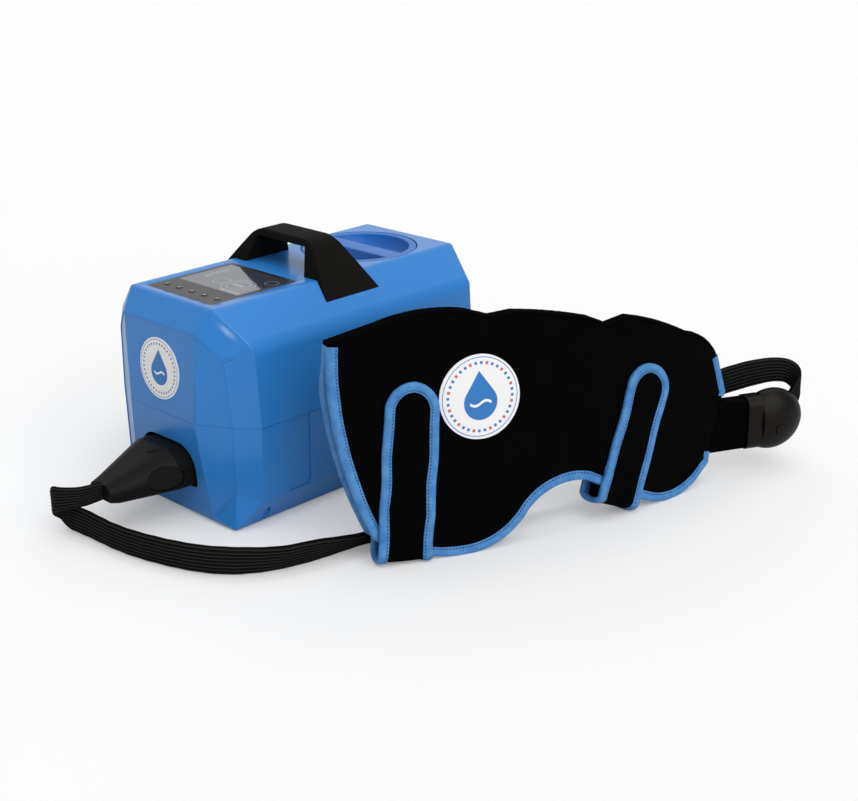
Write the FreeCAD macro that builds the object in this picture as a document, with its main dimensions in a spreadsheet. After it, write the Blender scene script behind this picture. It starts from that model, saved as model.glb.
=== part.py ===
import FreeCAD, Part
import math
import os
import re
import Sketcher
from FreeCAD import Placement, Rotation, Vector

# Hot and cold therapy machine with its hose and limb wrap. Millimetres, +Z up.
# The machine's front looks along -Y; the origin is the middle of its footprint on the table.

os.makedirs("parts", exist_ok=True)
doc = FreeCAD.newDocument("therapy_machine")

# ---------------------------------------------------------------- driving dimensions
sizes = {
    # housing: faceted box, given by the corners of its front right quarter
    "housing_height": 234.5, "top_half_width": 71, "top_half_length": 175,
    "shoulder_half_width": 114.3, "shoulder_height": 198.6, "corner_setback": 15.3,
    "seam_half_width": 118.9, "seam_height": 112.8, "skirt_half_width": 116, "skirt_height": 29.4,
    "base_half_width": 101.7, "brow_height": 210.5, "brow_half_width": 61.3, "brow_reach": 19.7,
    "belly_reach": 24, "crease_half_width": 56, "chin_height": 10,
    "chin_reach": 17.5, "base_reach": 13.5, "wing_half_width": 95.9, "wing_reach": 4,
    "flare_half_width": 94.5, "flare_height": 39.2,
    "wall": 3, "seam_gap": 0.4, "foot_height": 1.5, "foot_radius": 8, "foot_recess": 1,
    "foot_x": 80, "foot_y": 160,
    "side_panel_front": 129, "side_panel_rear": 94, "side_panel_low": 31, "side_panel_depth": 1.2,
    "side_panel_corner": 9,
    # screw posts that join the two shells
    "post_x": 105.5, "post_y": 150, "post_radius": 8, "well_radius": 5, "well_depth": 75,
    "screw_radius": 2, "screw_head_radius": 3.8, "screw_head": 3, "screw_length": 66,
    "screw_clearance": 0.2, "thread_fit": 0.05, "post_height": 40, "rib": 3,
    # handle
    "handle_foot_half_width": 93, "handle_rise": 37.5,
    "handle_top_half_width": 46, "handle_grip": 7.5, "handle_inner_foot": 50,
    "handle_inner_top": 40, "handle_foot_front": 41.3, "handle_foot_rear": 36.7,
    "handle_top_front": 20, "handle_top_rear": 15, "handle_corner": 8, "handle_edge": 2,
    "handle_screw_x": 60, "handle_screw_front": 18, "handle_screw_rear": 16,
    "handle_screw_length": 16,
    # display
    "display_half_width": 56, "display_setback": 9, "display_handle_gap": 7.7,
    "display_thick": 2.2,
    "display_corner": 5, "display_ledge": 5, "display_gap": 0.2,
    "lcd_width": 100, "lcd_setback": 39, "lcd_margin": 6, "lcd_thick": 5, "lcd_gap": 0.1,
    "lcd_leg": 5,
    "board_width": 124, "board_margin": 1, "board_drop": 10, "board_thick": 1.6,
    "board_post_x": 57, "board_post_inset": 6, "board_post_margin": 8, "board_post_radius": 3,
    "button_radius": 3.2, "button_pitch": 21.5, "button_setback": 18, "button_proud": 0.6,
    "button_gap": 0.25, "button_flange": 4.6, "button_flange_thick": 1.2, "button_travel": 0.8,
    "button_stem": 2, "button_play": 0.1, "switch_height": 4, "switch_side": 6,
    # tank cap and filling neck
    "cap_y": 94, "cap_radius": 66.8, "cap_gap": 1.2, "cap_flange": 8.5, "cap_bowl": 14.5,
    "cap_bowl_radius": 58, "cap_grip": 23, "cap_floor": 3, "cap_skirt": 13, "cap_wall": 3.2,
    "neck_bore": 60, "neck_wall": 7, "neck_fit": 0.5, "neck_guard": 1.5, "neck_guard_fit": 1,
    "neck_guard_drop": 9, "neck_top_gap": 0.2, "seal_thick": 0.9, "seal_fit": 0.05,
    "seal_width": 4,
    # water tank
    "tank_side_gap": 2.2, "tank_front": 24, "tank_rear": 160,
    "tank_top": 188, "tank_wall": 3, "tank_corner": 14, "foam": 7, "foam_fit": 0.3,
    "filter_radius": 14, "filter_height": 34, "filter_wall": 1.5, "filter_slot": 3,
    "heater_radius": 4, "heater_length": 90, "heater_pitch": 36, "heater_x": 35, "heater_z": 26,
    "probe_radius": 3, "probe_length": 32, "probe_z": 70, "tank_fit": 0.1, "outer_end": 3,
    # pumps
    "pump_x": 45, "pump_z": 36, "pump_radius": 27, "pump_length": 20, "pump_wall": 3,
    "pump_gap": 12, "impeller_radius": 22, "impeller_thick": 3, "blade_height": 7, "blade_thick": 2,
    "blade_count": 6, "hub_radius": 6,
    "shaft_radius": 3, "shaft_length": 24, "shaft_fit": 0.05, "motor_radius": 22,
    "motor_length": 46, "running_gap": 1, "spout_length": 6, "spout_offset": 10,
    "cradle_width": 24, "cradle_inset": 4,
    "air_pump_x": 56, "air_pump_front": 60, "air_pump_width": 48, "air_pump_depth": 56,
    "air_pump_height": 44, "air_pump_corner": 5, "seat_gap": 0.3,
    "valve_side": 22, "valve_height": 34, "plunger_radius": 4, "plunger_length": 22,
    "plunger_fit": 0.05, "plunger_travel": 3,
    "power_board_width": 100, "power_board_height": 80, "power_board_z": 22, "power_board_gap": 9,
    "power_board_x": 50, "transformer": 30, "part_height": 8, "capacitor_radius": 5,
    "inlet_x": 38, "inlet_z": 42, "inlet_radius": 6, "inlet_bore": 2.8, "inlet_flange": 9,
    "inlet_depth": 10, "inlet_flange_thick": 2.5, "inlet_fit": 0.2, "inlet_reach": 193.5,
    "pipe_radius": 5, "pipe_wall": 1.2, "air_pipe_radius": 3.5, "return_x": 20, "return_z": 110,
    # hose socket
    "socket_half_width": 47.5, "socket_low": 34.8, "socket_high": 82.5, "socket_flat": 22,
    "socket_shoulder": 53, "socket_corner": 8, "socket_wall": 2.5, "socket_back": 150,
    "port_radius": 4.5, "port_bore": 2.6, "port_length": 16, "port_pitch": 22, "port_z": 58,
    "port_tail": 12, "port_fit": 0.05,
    # badge
    "badge_radius": 33.5, "badge_thick": 0.8, "badge_height": 161,
    # plug on the hose
    "plug_front": 161, "plug_waist": 212, "plug_end": 283, "plug_half_width": 43.5,
    "plug_low": 37, "plug_high": 80, "plug_flat": 20, "plug_shoulder": 52, "plug_corner": 8,
    "nose_half_width": 22, "nose_low": 36.5, "nose_high": 60, "nose_flat": 9, "nose_shoulder": 46,
    "nose_corner": 5, "nose_start": 273, "nose_round": 3, "plug_wall": 2.6, "plug_split": 49,
    "plug_seam": 0.3, "plug_port_front": 152, "plug_port_depth": 18, "plug_port_wall": 2,
    "plug_port_fit": 0.06, "plug_port_end": 200, "release_length": 40, "release_height": 26,
    "release_thick": 3, "release_lip": 2, "release_gap": 0.4, "release_play": 0.4,
    "release_proud": 1.2, "release_travel": 2, "release_y": 226, "release_z": 54,
    # hose
    "sleeve_width": 31, "sleeve_thick": 8, "sleeve_skin": 0.9, "tube_radius": 2.9,
    "tube_bore": 1.8, "air_tube_radius": 2.3, "air_tube_bore": 1.4, "tube_spread": 6,
    # coupling at the wrap
    "coupling_x": 376, "coupling_y": 276.5, "coupling_z": 56, "coupling_heading": 28,
    "collar_near": 37, "collar_far": 55, "collar_height": 62, "collar_thick": 30,
    "collar_corner": 11, "coupling_joint_gap": 0.4, "dome_near": 55.4, "dome_far": 110,
    "dome_height": 72, "dome_thick": 40, "dome_middle": 72, "dome_wall": 2.4, "dome_seam": 0.3,
    "latch_side": 10, "latch_along": 75, "latch_z": -7, "latch_depth": 2.5, "latch_lip": 1.5,
    "latch_proud": 1, "latch_gap": 0.3, "latch_play": 0.2, "latch_travel": 1.5,
    "coupling_pin_radius": 5, "coupling_pin_bore": 3, "coupling_pin_length": 9,
    "coupling_pin_tail": 14, "coupling_pin_fit": 0.06, "coupling_pin_rise": 14,
    # wrap: a leaning curved wall of three layers; its outline is given below
    "wrap_x": 355.1, "wrap_y": 40.5, "wrap_heading": 17.5, "wrap_radius": 802, "wrap_lean": 7,
    "wrap_height": 251, "wrap_sweep": 44, "layer": 6, "bladder": 12, "bladder_margin": 13,
    "binding": 10, "binding_proud": 0.6, "binding_left_top": 232, "binding_right_top": 140,
    "binding_left_reach": 212, "patch_u": -84, "patch_z": 160, "patch_radius": 43,
    "patch_thick": 0.8, "patch_gap": 0.3, "neck_height": 60, "neck_thick": 13, "neck_start": 22,
    "neck_collar_height": 56, "neck_collar_thick": 20, "neck_clearance": 0.3,
    # straps that close the wrap
    "strap_thick": 3.6, "strap_gap": 1.2, "strap_edge": 9, "strap_proud": 0.3,
    "long_strap_u": -172, "long_strap_z": 8, "long_strap_width": 56, "long_strap_length": 178,
    "long_strap_tilt": 6,
    "short_strap_u": 70, "short_strap_z": 20, "short_strap_width": 57,
    "short_strap_length": 148, "short_strap_tilt": 24,
}
# Places that follow from the sizes: the display, its board and the buttons lie between the housing's
# front edge and the handle, and the tank in its foam fits between the screw posts.
ties = {
    "display_front": "top_half_length - display_setback",
    "display_rear": "handle_foot_front + display_handle_gap",
    "lcd_front": "display_front - lcd_setback", "lcd_rear": "display_rear + lcd_margin",
    "board_front": "display_front", "board_rear": "display_rear + board_margin",
    "board_post_front": "board_front - board_post_inset",
    "board_post_rear": "board_rear + board_post_margin",
    "button_y": "display_front - button_setback",
    "tank_half_width": "post_x - post_radius - foam - foam_fit - tank_side_gap",
}
# Outline of the wrap: u along the middle of the wall, and the height up from the table or, for
# the upper edge, down from the wrap's top. (name, u, height)
low_outline = [
    ("side", -227, 120), ("low_side", -202, 29), ("lobe_turn", -160, 8.2), ("lobe", -110, 0),
    ("lobe_rise", -72, 8), ("waist", -37, 35), ("arch", -1, 53), ("arch_end", 35, 50),
    ("arch_fall", 72, 29), ("toe_start", 111, 9), ("toe", 150, 0), ("toe_end", 189, 9),
    ("heel", 212, 23), ("neck_low", 216, 38), ("neck_high", 246, 95),
]
high_outline = [
    ("end_top", 235, 114), ("end_round", 222, 96), ("end_start", 188, 77), ("crest", 143, 55),
    ("crest_start", 98, 40), ("dip", 73, 44), ("ridge_end", 48, 32), ("ridge", 4, 20),
    ("ridge_start", -40, 12), ("notch", -64, 14), ("peak_end", -88, 5), ("peak", -130, 0),
    ("peak_start", -179, 8), ("corner", -229, 22),
]
outline_arcs = ["side", "lobe_turn", "lobe_rise", "arch", "arch_fall", "toe", "end_round",
                "crest", "ridge", "peak"]
# Route of the hose from the plug's nose to the coupling, points chosen by hand. (x, y, z)
hose_route = [
    (0, -283, 48.25), (0, -300, 48), (-20, -319, 45), (-40, -322, 39), (-50, -313, 31),
    (-36, -303, 22), (0, -303, 15.8), (50, -299, 15.8), (108, -287, 15.8), (166, -263, 15.8),
    (205, -222, 15.8), (225, -167, 15.8), (240, -103, 17), (266, -30, 24), (301, 55, 42),
    (330, 140, 66), (339, 219, 86), (340, 291, 95), (375, 345, 96), (404, 375, 91),
    (417, 383, 85), (424, 378, 77), (419, 364, 70),
]

outline_spots = {}
for outline, height in ((low_outline, "outline_%s_up"), (high_outline, "wrap_height - outline_%s_down")):
    for name, u, z in outline:
        sizes["outline_%s_along" % name] = u
        sizes[height.split()[-1] % name] = z
        outline_spots[name] = ("outline_%s_along" % name, height % name)

for name, formula in ties.items():
    sizes[name] = "=" + formula

sheet = doc.addObject("Spreadsheet::Sheet", "Sizes")
for row, (name, value) in enumerate(sizes.items(), start=1):
    sheet.set("A%d" % row, name)
    sheet.set("B%d" % row, str(value))
    sheet.setAlias("B%d" % row, name)
doc.recompute()


# ---------------------------------------------------------------- helpers
def link(text):
    """An expression in which each size's name points at its cell."""
    def cell(word):
        return "Sizes." + word.group() if word.group() in sizes else word.group()

    return re.sub(r"[a-z][a-z_]*", cell, str(text))


def mm(text):
    """The value of an expression, read from the sheet."""
    value = sheet.evalExpression(link(text))
    return float(getattr(value, "Value", value))


def bind(obj, **expressions):
    """Ties properties to the sheet; x, y, z, turn are the placement."""
    path = {"x": "Placement.Base.x", "y": "Placement.Base.y", "z": "Placement.Base.z",
            "turn": "Placement.Rotation.Angle"}
    for key, text in expressions.items():
        obj.setExpression(path.get(key, key), link(text))
    return obj


def primitive(kind, label, **expressions):
    obj = doc.addObject("Part::" + kind, label)
    obj.Label = label
    return bind(obj, **expressions)


def box(label, width, depth, height, x, y, z):
    """A box from its lowest corner."""
    return primitive("Box", label, Length=width, Width=depth, Height=height, x=x, y=y, z=z)


def rod(label, radius, length, x, y, z, axis=Vector(0, 0, 1)):
    """A cylinder that starts at x, y, z and runs along axis."""
    obj = doc.addObject("Part::Cylinder", label)
    obj.Label = label
    obj.Placement = Placement(Vector(), Rotation(Vector(0, 0, 1), axis))
    return bind(obj, Radius=radius, Height=length, x=x, y=y, z=z)


def cut(label, base, *tools):
    obj = doc.addObject("Part::Cut", label)
    obj.Label = label
    obj.Base = base
    obj.Tool = tools[0] if len(tools) == 1 else joined(label + "_tools", *tools)
    return obj


def joined(label, *pieces):
    obj = doc.addObject("Part::MultiFuse", label)
    obj.Label = label
    obj.Shapes = list(pieces)
    return obj


def group(label, *pieces):
    """Separate solids that share one node."""
    obj = doc.addObject("Part::Compound", label)
    obj.Label = label
    obj.Links = list(pieces)
    return obj


def feature(label, shape, placement=None):
    obj = doc.addObject("Part::Feature", label)
    obj.Label = label
    obj.Shape = shape
    if placement is not None:
        obj.Placement = placement
    return obj


def body(label, **expressions):
    obj = doc.addObject("PartDesign::Body", label)
    obj.Label = label
    return bind(obj, **expressions)


def plane(owner, role):
    return [f for f in owner.Origin.OriginFeatures if f.Role == role][0]


def sketch(owner, name, role, points, offset=None):
    """A closed polygon whose corners are expressions, fixed to the body's origin."""
    drawing = owner.newObject("Sketcher::SketchObject", owner.Name + name)
    drawing.AttachmentSupport = [(plane(owner, role), "")]
    drawing.MapMode = "FlatFace"
    if offset is not None:
        drawing.setExpression("AttachmentOffset.Base.z", link(offset))
    places = [(mm(a), mm(b)) for a, b in points]
    count = len(points)
    for i in range(count):
        a, b = places[i], places[(i + 1) % count]
        drawing.addGeometry(Part.LineSegment(Vector(a[0], a[1], 0), Vector(b[0], b[1], 0)))
    for i in range(count):
        drawing.addConstraint(Sketcher.Constraint("Coincident", i, 2, (i + 1) % count, 1))
    for i in range(count):
        for kind, j, axis in (("DistanceX", 0, -2), ("DistanceY", 1, -1)):
            if str(points[i][j]) == "0":
                drawing.addConstraint(Sketcher.Constraint("PointOnObject", i, 1, axis))
                continue
            index = drawing.addConstraint(Sketcher.Constraint(kind, -1, 1, i, 1, places[i][j]))
            drawing.setExpression("Constraints[%d]" % index, link(points[i][j]))
    return drawing


def pad(owner, profile, length, both=False, reverse=False):
    step = owner.newObject("PartDesign::Pad", owner.Name + "Pad")
    step.Profile = profile
    step.Midplane = both
    step.Reversed = reverse
    return bind(step, Length=length)


def pocket(owner, profile, length=None, both=False, reverse=False):
    step = owner.newObject("PartDesign::Pocket", owner.Name + "Pocket")
    step.Profile = profile
    step.Midplane = both
    step.Reversed = reverse
    if length is None:
        step.Type = "ThroughAll"
        return step
    return bind(step, Length=length)


def turned(label, points, turn=None, **place):
    """A body made by turning a profile of (radius, height) about its Z axis."""
    owner = body(label, **place)
    if turn is not None:
        owner.Placement = Placement(owner.Placement.Base, turn)
    profile = sketch(owner, "Profile", "XZ_Plane", points)
    step = owner.newObject("PartDesign::Revolution", owner.Name + "Turn")
    step.Profile = profile
    step.ReferenceAxis = (profile, ["V_Axis"])
    step.Angle = 360
    return owner


def edges(owner, test):
    """Names of the edges of a body whose ends and middle pass a test."""
    doc.recompute()
    return ["Edge%d" % (i + 1) for i, e in enumerate(owner.Tip.Shape.Edges) if test(e.BoundBox)]


def fillet(owner, names, radius):
    sharp = owner.Tip
    step = owner.newObject("PartDesign::Fillet", owner.Name + "Fillet")
    step.Base = (sharp, names)
    return bind(step, Radius=radius)


def upright(b, low=-1e9):
    """True for an edge's box that runs along Z only."""
    return b.XLength < 1e-6 and b.YLength < 1e-6 and b.ZMin > low


def plate(label, width, depth, thick, corner, x, y, z):
    """A flat body with rounded corners, centred on x, y, standing on z."""
    owner = body(label, x=x, y=y, z=z)
    half = ("(%s) / 2" % width, "(%s) / 2" % depth)
    outline = [("-" + half[0], "-" + half[1]), (half[0], "-" + half[1]), half, ("-" + half[0], half[1])]
    pad(owner, sketch(owner, "Outline", "XY_Plane", outline), thick)
    fillet(owner, edges(owner, upright), corner)
    return owner


# ---------------------------------------------------------------- hose path and sweeps
def tangent_path(points):
    """Straight runs joined by tangent arcs, each as large as its two runs allow."""
    corners = [Vector(*p) for p in points]
    path, radii, start = [], [], corners[0]
    for before, here, after in zip(corners, corners[1:], corners[2:]):
        run_in, run_out = here.sub(before), after.sub(here)
        turn = run_in.getAngle(run_out)
        cut_back = 0.45 * min(run_in.Length, run_out.Length)
        radii.append(cut_back / math.tan(turn / 2))
        first = here - run_in.normalize() * cut_back
        last = here + run_out.normalize() * cut_back
        inward = (run_out - run_in).normalize()
        middle = here + inward * (radii[-1] / math.cos(turn / 2) - radii[-1])
        path += [Part.LineSegment(start, first).toShape(), Part.Arc(first, middle, last).toShape()]
        start = last
    path.append(Part.LineSegment(start, corners[-1]).toShape())
    return Part.Wire(path), radii


def swept(path, section, upright_section=False):
    """A solid swept along a path; an upright section keeps its long side vertical."""
    sweep = Part.BRepOffsetAPI.MakePipeShell(path)
    if upright_section:
        sweep.setBiNormalMode(Vector(0, 0, 1))
    sweep.add(section, False, False)
    sweep.setTransitionMode(0)
    sweep.build()
    sweep.makeSolid()
    return sweep.shape()


def tube(points, radius, bore):
    """A bent tube with a bore."""
    path, _ = tangent_path(points)
    way = Vector(*points[1]) - Vector(*points[0])
    solids = [swept(path, Part.Wire(Part.makeCircle(r, Vector(*points[0]), way))) for r in (radius, bore)]
    return solids[0].cut(solids[1])


# ---------------------------------------------------------------- housing shells
def half_space(shape, corner, normal):
    """What is left of a shape behind a plane."""
    size = 1200
    block = Part.makeBox(size, size, size, Vector(-size / 2, -size / 2, 0))
    block.Placement = Placement(corner, Rotation(Vector(0, 0, 1), normal)).multiply(block.Placement)
    return shape.cut(block)


def facets(inset):
    """The faceted form of the housing, every face moved in by inset."""
    def corner(half_width, reach, up):
        return Vector(mm(half_width), -mm("top_half_length") - mm(reach), mm(up))

    top = corner("top_half_width", 0, "housing_height")
    brow = corner("brow_half_width", "brow_reach", "brow_height")
    crease = corner("crease_half_width", "belly_reach", "seam_height")
    base = corner("base_half_width", "base_reach", "foot_height")
    shoulder = corner("shoulder_half_width", "-corner_setback", "shoulder_height")
    seam = corner("seam_half_width", "-corner_setback", "seam_height")
    wing = corner("wing_half_width", "wing_reach", "seam_height")
    flare = corner("flare_half_width", "wing_reach", "flare_height")
    along_x, along_y = Vector(1, 0, 0), Vector(0, 1, 0)
    chin = meeting(corner(0, "chin_reach", "chin_height"), along_x, crease, wing, flare)
    skirt = meeting(corner("skirt_half_width", 0, "skirt_height"), along_y, wing, flare, seam)
    low_faces = [
        (base, base + along_x, base + along_y), (seam, skirt, seam + along_y),
        (skirt, base, skirt + along_y), (crease, chin, crease + along_x), (chin, base, chin + along_x),
    ]
    main_faces = low_faces + [
        (top, top + along_x, top + along_y), (top, shoulder, top + along_y),
        (shoulder, seam, shoulder + along_y), (top, brow, top + along_x),
        (brow, crease, brow + along_x), (brow, crease, wing), (crease, wing, flare),
        (shoulder, seam, wing), (wing, flare, seam), (top, shoulder, brow),
    ]
    ceiling = Vector(0, 0, mm("flare_height"))
    flare_faces = low_faces + [
        (chin, flare, base), (flare, skirt, base), (ceiling, ceiling + along_x, ceiling + along_y),
    ]
    return faceted(main_faces, inset).fuse(faceted(flare_faces, inset)).removeSplitter()


def meeting(start, direction, a, b, c):
    """Where the line from start along direction meets the plane through a, b, c."""
    normal = (b - a).cross(c - a)
    return start + direction * (normal.dot(a - start) / normal.dot(direction))


def faceted(faces, inset):
    """What lies behind every face and its mirror images, each moved in by inset."""
    reach = 2 * mm("top_half_length") + 200
    shape = Part.makeBox(reach, reach, reach, Vector(-reach / 2, -reach / 2, -reach / 4))
    inside = Vector(0, 0, mm("skirt_height") / 2)
    for a, b, c in faces:
        normal = (b - a).cross(c - a).normalize()
        if normal.dot(inside - a) > 0:
            normal = -normal
        spot = a - normal * inset
        turns = {(1, 1)}
        if abs(normal.x) > 1e-6:
            turns |= {(-1, 1)}
        if abs(normal.y) > 1e-6:
            turns |= {(i, -1) for i, _ in set(turns)}
        for i, j in sorted(turns):
            shape = half_space(shape, Vector(i * spot.x, j * spot.y, spot.z),
                               Vector(i * normal.x, j * normal.y, normal.z))
    return shape


def block(x, y, z, width, depth, height):
    return Part.makeBox(width, depth, height, Vector(x, y, z))


def post(radius, x, y, z, height, direction=Vector(0, 0, 1)):
    return Part.makeCylinder(radius, height, Vector(x, y, z), direction)


def four(radius, x, y, z, height):
    """Four upright cylinders, one in each quarter."""
    return [post(radius, i * x, j * y, z, height) for i in (-1, 1) for j in (-1, 1)]


def d_face(y, half_width, low, high, flat, shoulder, corner):
    """A flat-topped D lying on its flat bottom, in the plane at y."""
    k = math.sqrt(0.5)
    bulge = Vector(flat + k * (half_width - flat), 0, shoulder + k * (high - shoulder))
    turn = Vector(half_width - corner + corner * k, 0, low + corner - corner * k)
    side_low, side_high = Vector(half_width, 0, low + corner), Vector(half_width, 0, shoulder)
    bottom = Vector(half_width - corner, 0, low)
    right = [
        Part.LineSegment(Vector(0, 0, low), bottom).toShape(), Part.Arc(bottom, turn, side_low).toShape(),
        Part.LineSegment(side_low, side_high).toShape(),
        Part.Arc(side_high, bulge, Vector(flat, 0, high)).toShape(),
        Part.LineSegment(Vector(flat, 0, high), Vector(0, 0, high)).toShape(),
    ]
    left = [e.mirror(Vector(), Vector(1, 0, 0)) for e in right]
    face = Part.Face(Part.Wire(Part.__sortEdges__(right + left)))
    face.translate(Vector(0, y, 0))
    return face


def socket_face(y, outward=0):
    """Outline of the hose socket's opening."""
    return d_face(y, mm("socket_half_width") + outward, mm("socket_low") - outward,
                  mm("socket_high") + outward, mm("socket_flat") + outward / 2, mm("socket_shoulder"),
                  mm("socket_corner") + outward)


seam_z = mm("seam_height")
floor_z = mm("foot_height + wall")
room = facets(mm("wall"))
hull = facets(0)
shell = hull.cut(room)
post_x, post_y = mm("post_x"), mm("post_y")
far = 500
cap_hole = post(mm("cap_radius + cap_gap"), 0, mm("cap_y"), mm("tank_top"), far)
display_depth = mm("display_front - display_rear")
recess = block(-mm("display_half_width + display_gap"), -mm("display_front + display_gap"),
               mm("housing_height - display_thick"), mm("2 * (display_half_width + display_gap)"),
               display_depth + mm("2 * display_gap"), far)
recess = recess.makeFillet(mm("display_corner"), [e for e in recess.Edges if upright(e.BoundBox)])
window = block(-mm("display_half_width - display_ledge"), -mm("display_front - display_ledge"), seam_z,
               mm("2 * (display_half_width - display_ledge)"), display_depth - mm("2 * display_ledge"), far)
upper_posts = [p.common(hull) for p in four(mm("post_radius"), post_x, post_y, seam_z, mm("post_height"))]
ribs = [block(min(i * post_x, i * far), j * post_y - mm("rib") / 2, seam_z, far - post_x, mm("rib"),
              mm("post_height")).common(hull) for i in (-1, 1) for j in (-1, 1)]
upper_pilots = four(mm("screw_radius"), post_x, post_y, seam_z - 1, mm("post_height - wall"))
board_top = mm("housing_height - display_thick - board_drop")
board_hangers = [post(mm("board_post_radius"), i * mm("board_post_x"), y, board_top,
                      mm("housing_height - wall / 2") - board_top)
                 for i in (-1, 1) for y in (-mm("board_post_front"), -mm("board_post_rear"))]
handle_holes = [post(mm("screw_radius + screw_clearance"), i * mm("handle_screw_x"), y, seam_z, far)
                for i in (-1, 1) for y in (-mm("handle_screw_front"), mm("handle_screw_rear"))]
above = block(-far, -far, seam_z + mm("seam_gap") / 2, 2 * far, 2 * far, far)
below = block(-far, -far, seam_z - mm("seam_gap") / 2 - far, 2 * far, 2 * far, far)
upper = shell.fuse(upper_posts + ribs + board_hangers).common(above)
upper = upper.cut([cap_hole, recess, window] + upper_pilots + handle_holes)
feature("upper_housing", upper.removeSplitter())

lower_posts = [p.common(hull) for p in four(mm("post_radius"), post_x, post_y, 0, seam_z)]
wells = four(mm("well_radius"), post_x, post_y, -1, mm("well_depth") + 1)
lower_holes = four(mm("screw_radius + screw_clearance"), post_x, post_y, 0, seam_z + 1)
foot_seats = four(mm("foot_radius + seat_gap"), mm("foot_x"), mm("foot_y"), -1,
                  mm("foot_height + foot_recess") + 1)
panel_height = seam_z - mm("side_panel_low")
side_panels = []
for side in (-1, 1):
    reach_out = mm("seam_half_width")
    depth = mm("side_panel_depth")
    tool = block(reach_out - depth - 3, -mm("side_panel_front"), mm("side_panel_low"), far,
                 mm("side_panel_front - side_panel_rear"), panel_height + 10)
    low_edges = [e for e in tool.Edges if e.BoundBox.YLength < 1e-6 and e.BoundBox.ZLength < 1e-6
                 and e.BoundBox.ZMax < mm("side_panel_low") + 1]
    tool = tool.makeFillet(mm("side_panel_corner"), low_edges).cut(facets(depth))
    side_panels.append(tool if side > 0 else tool.mirror(Vector(), Vector(1, 0, 0)))
socket_cut = socket_face(-far).extrude(Vector(0, far - mm("socket_back"), 0))
inlet_cut = post(mm("inlet_radius + inlet_fit"), mm("inlet_x"), mm("tank_rear"), mm("inlet_z"), far,
                 Vector(0, 1, 0))
cradle_top = mm("pump_z - motor_radius - seat_gap")
motor_front = mm("tank_front - pump_gap - pump_length - motor_length")
cradle = block(-mm("pump_x + cradle_width / 2"), motor_front + mm("cradle_inset"), floor_z - 1,
               mm("cradle_width"), mm("motor_length - 2 * cradle_inset"), cradle_top - floor_z + 1)
board_y = mm("tank_rear + foam + foam_fit + power_board_gap")
board_posts = [block(i * mm("power_board_x - 10") - 3, board_y - 3, floor_z - 1, 6, 6 + mm("board_thick"),
                     mm("power_board_z") - floor_z + 1) for i in (-1, 1)]
lower = shell.fuse(lower_posts + [cradle] + board_posts).common(below)
lower = lower.cut(wells + lower_holes + foot_seats + side_panels + [socket_cut, inlet_cut])
feature("lower_housing", lower.removeSplitter())


# ---------------------------------------------------------------- handle
roof_fall = "(housing_height - shoulder_height) / (shoulder_half_width - top_half_width)"
handle_foot = "housing_height - (handle_foot_half_width - top_half_width) * %s" % roof_fall
handle_top = "(housing_height + handle_rise)"
handle = body("handle_shape")
arch = [
    ("handle_foot_half_width", handle_foot), ("handle_top_half_width", handle_top),
    ("-handle_top_half_width", handle_top), ("-handle_foot_half_width", handle_foot),
    ("-top_half_width", "housing_height"), ("-handle_inner_foot", "housing_height"),
    ("-handle_inner_top", handle_top + " - handle_grip"),
    ("handle_inner_top", handle_top + " - handle_grip"),
    ("handle_inner_foot", "housing_height"), ("top_half_width", "housing_height"),
]
pad(handle, sketch(handle, "Arch", "XZ_Plane", arch), "2 * handle_foot_front", both=True)
slants = [
    [("-handle_foot_front", handle_foot), ("-handle_top_front", handle_top),
     ("-handle_foot_front - 5", handle_top + " + 5"), ("-handle_foot_front - 5", handle_foot)],
    [("handle_foot_rear", handle_foot), ("handle_top_rear", handle_top),
     ("handle_foot_front + 5", handle_top + " + 5"), ("handle_foot_front + 5", handle_foot)],
]
for name, slant in zip(("Front", "Rear"), slants):
    pocket(handle, sketch(handle, name, "YZ_Plane", slant), both=True).Label = "handle_" + name
top_turns = edges(handle, lambda b: b.ZMin > mm(handle_top) - 0.1 and b.XLength < 0.1)
fillet(handle, top_turns, "handle_corner")
pilots = [rod("handle_pilot", "screw_radius + thread_fit", "handle_screw_length", i + "handle_screw_x", y,
              "housing_height - wall")
          for i in ("", "-") for y in ("-handle_screw_front", "handle_screw_rear")]
cut("handle", handle, *pilots)
screws = []
for i in ("", "-"):
    for y in ("-handle_screw_front", "handle_screw_rear"):
        shaft = rod("handle_screw_shaft", "screw_radius", "handle_screw_length - thread_fit",
                    i + "handle_screw_x", y, "housing_height - wall")
        head = rod("handle_screw_head", "screw_head_radius", "screw_head", i + "handle_screw_x", y,
                   "housing_height - wall - screw_head")
        screws.append(joined("handle_screw", shaft, head))

# ---------------------------------------------------------------- display, buttons, control board
window_low = "housing_height - display_thick"
display = plate("display_plate", "2 * display_half_width", "display_front - display_rear", "display_thick",
                "display_corner", 0, "-(display_front + display_rear) / 2", window_low)
button_names = ["power_button", "mode_button", "temperature_button", "time_button", "pressure_button"]
button_places = ["(%d) * button_pitch" % (i - 2) for i in range(5)]
display_holes = [rod("button_hole", "button_radius + button_gap", "display_thick + 2", x, "-button_y",
                     window_low + " - 1") for x in button_places]
cut("display_window", display, *display_holes)
lcd_top = window_low + " - lcd_gap"
board_level = window_low + " - board_drop"
lcd_low = lcd_top + " - lcd_thick"
lcd = [box("lcd_case", "lcd_width", "lcd_front - lcd_rear", "lcd_thick", "-lcd_width / 2", "-lcd_front",
           lcd_low)]
for x in ("-lcd_width / 2", "lcd_width / 2 - lcd_leg"):
    for y in ("-lcd_front", "-lcd_rear - lcd_leg"):
        lcd.append(box("lcd_leg_post", "lcd_leg", "lcd_leg", "board_drop - lcd_gap - lcd_thick", x, y,
                       board_level))
joined("lcd_module", *lcd)
board_middle = "-(board_front + board_rear) / 2"
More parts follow.
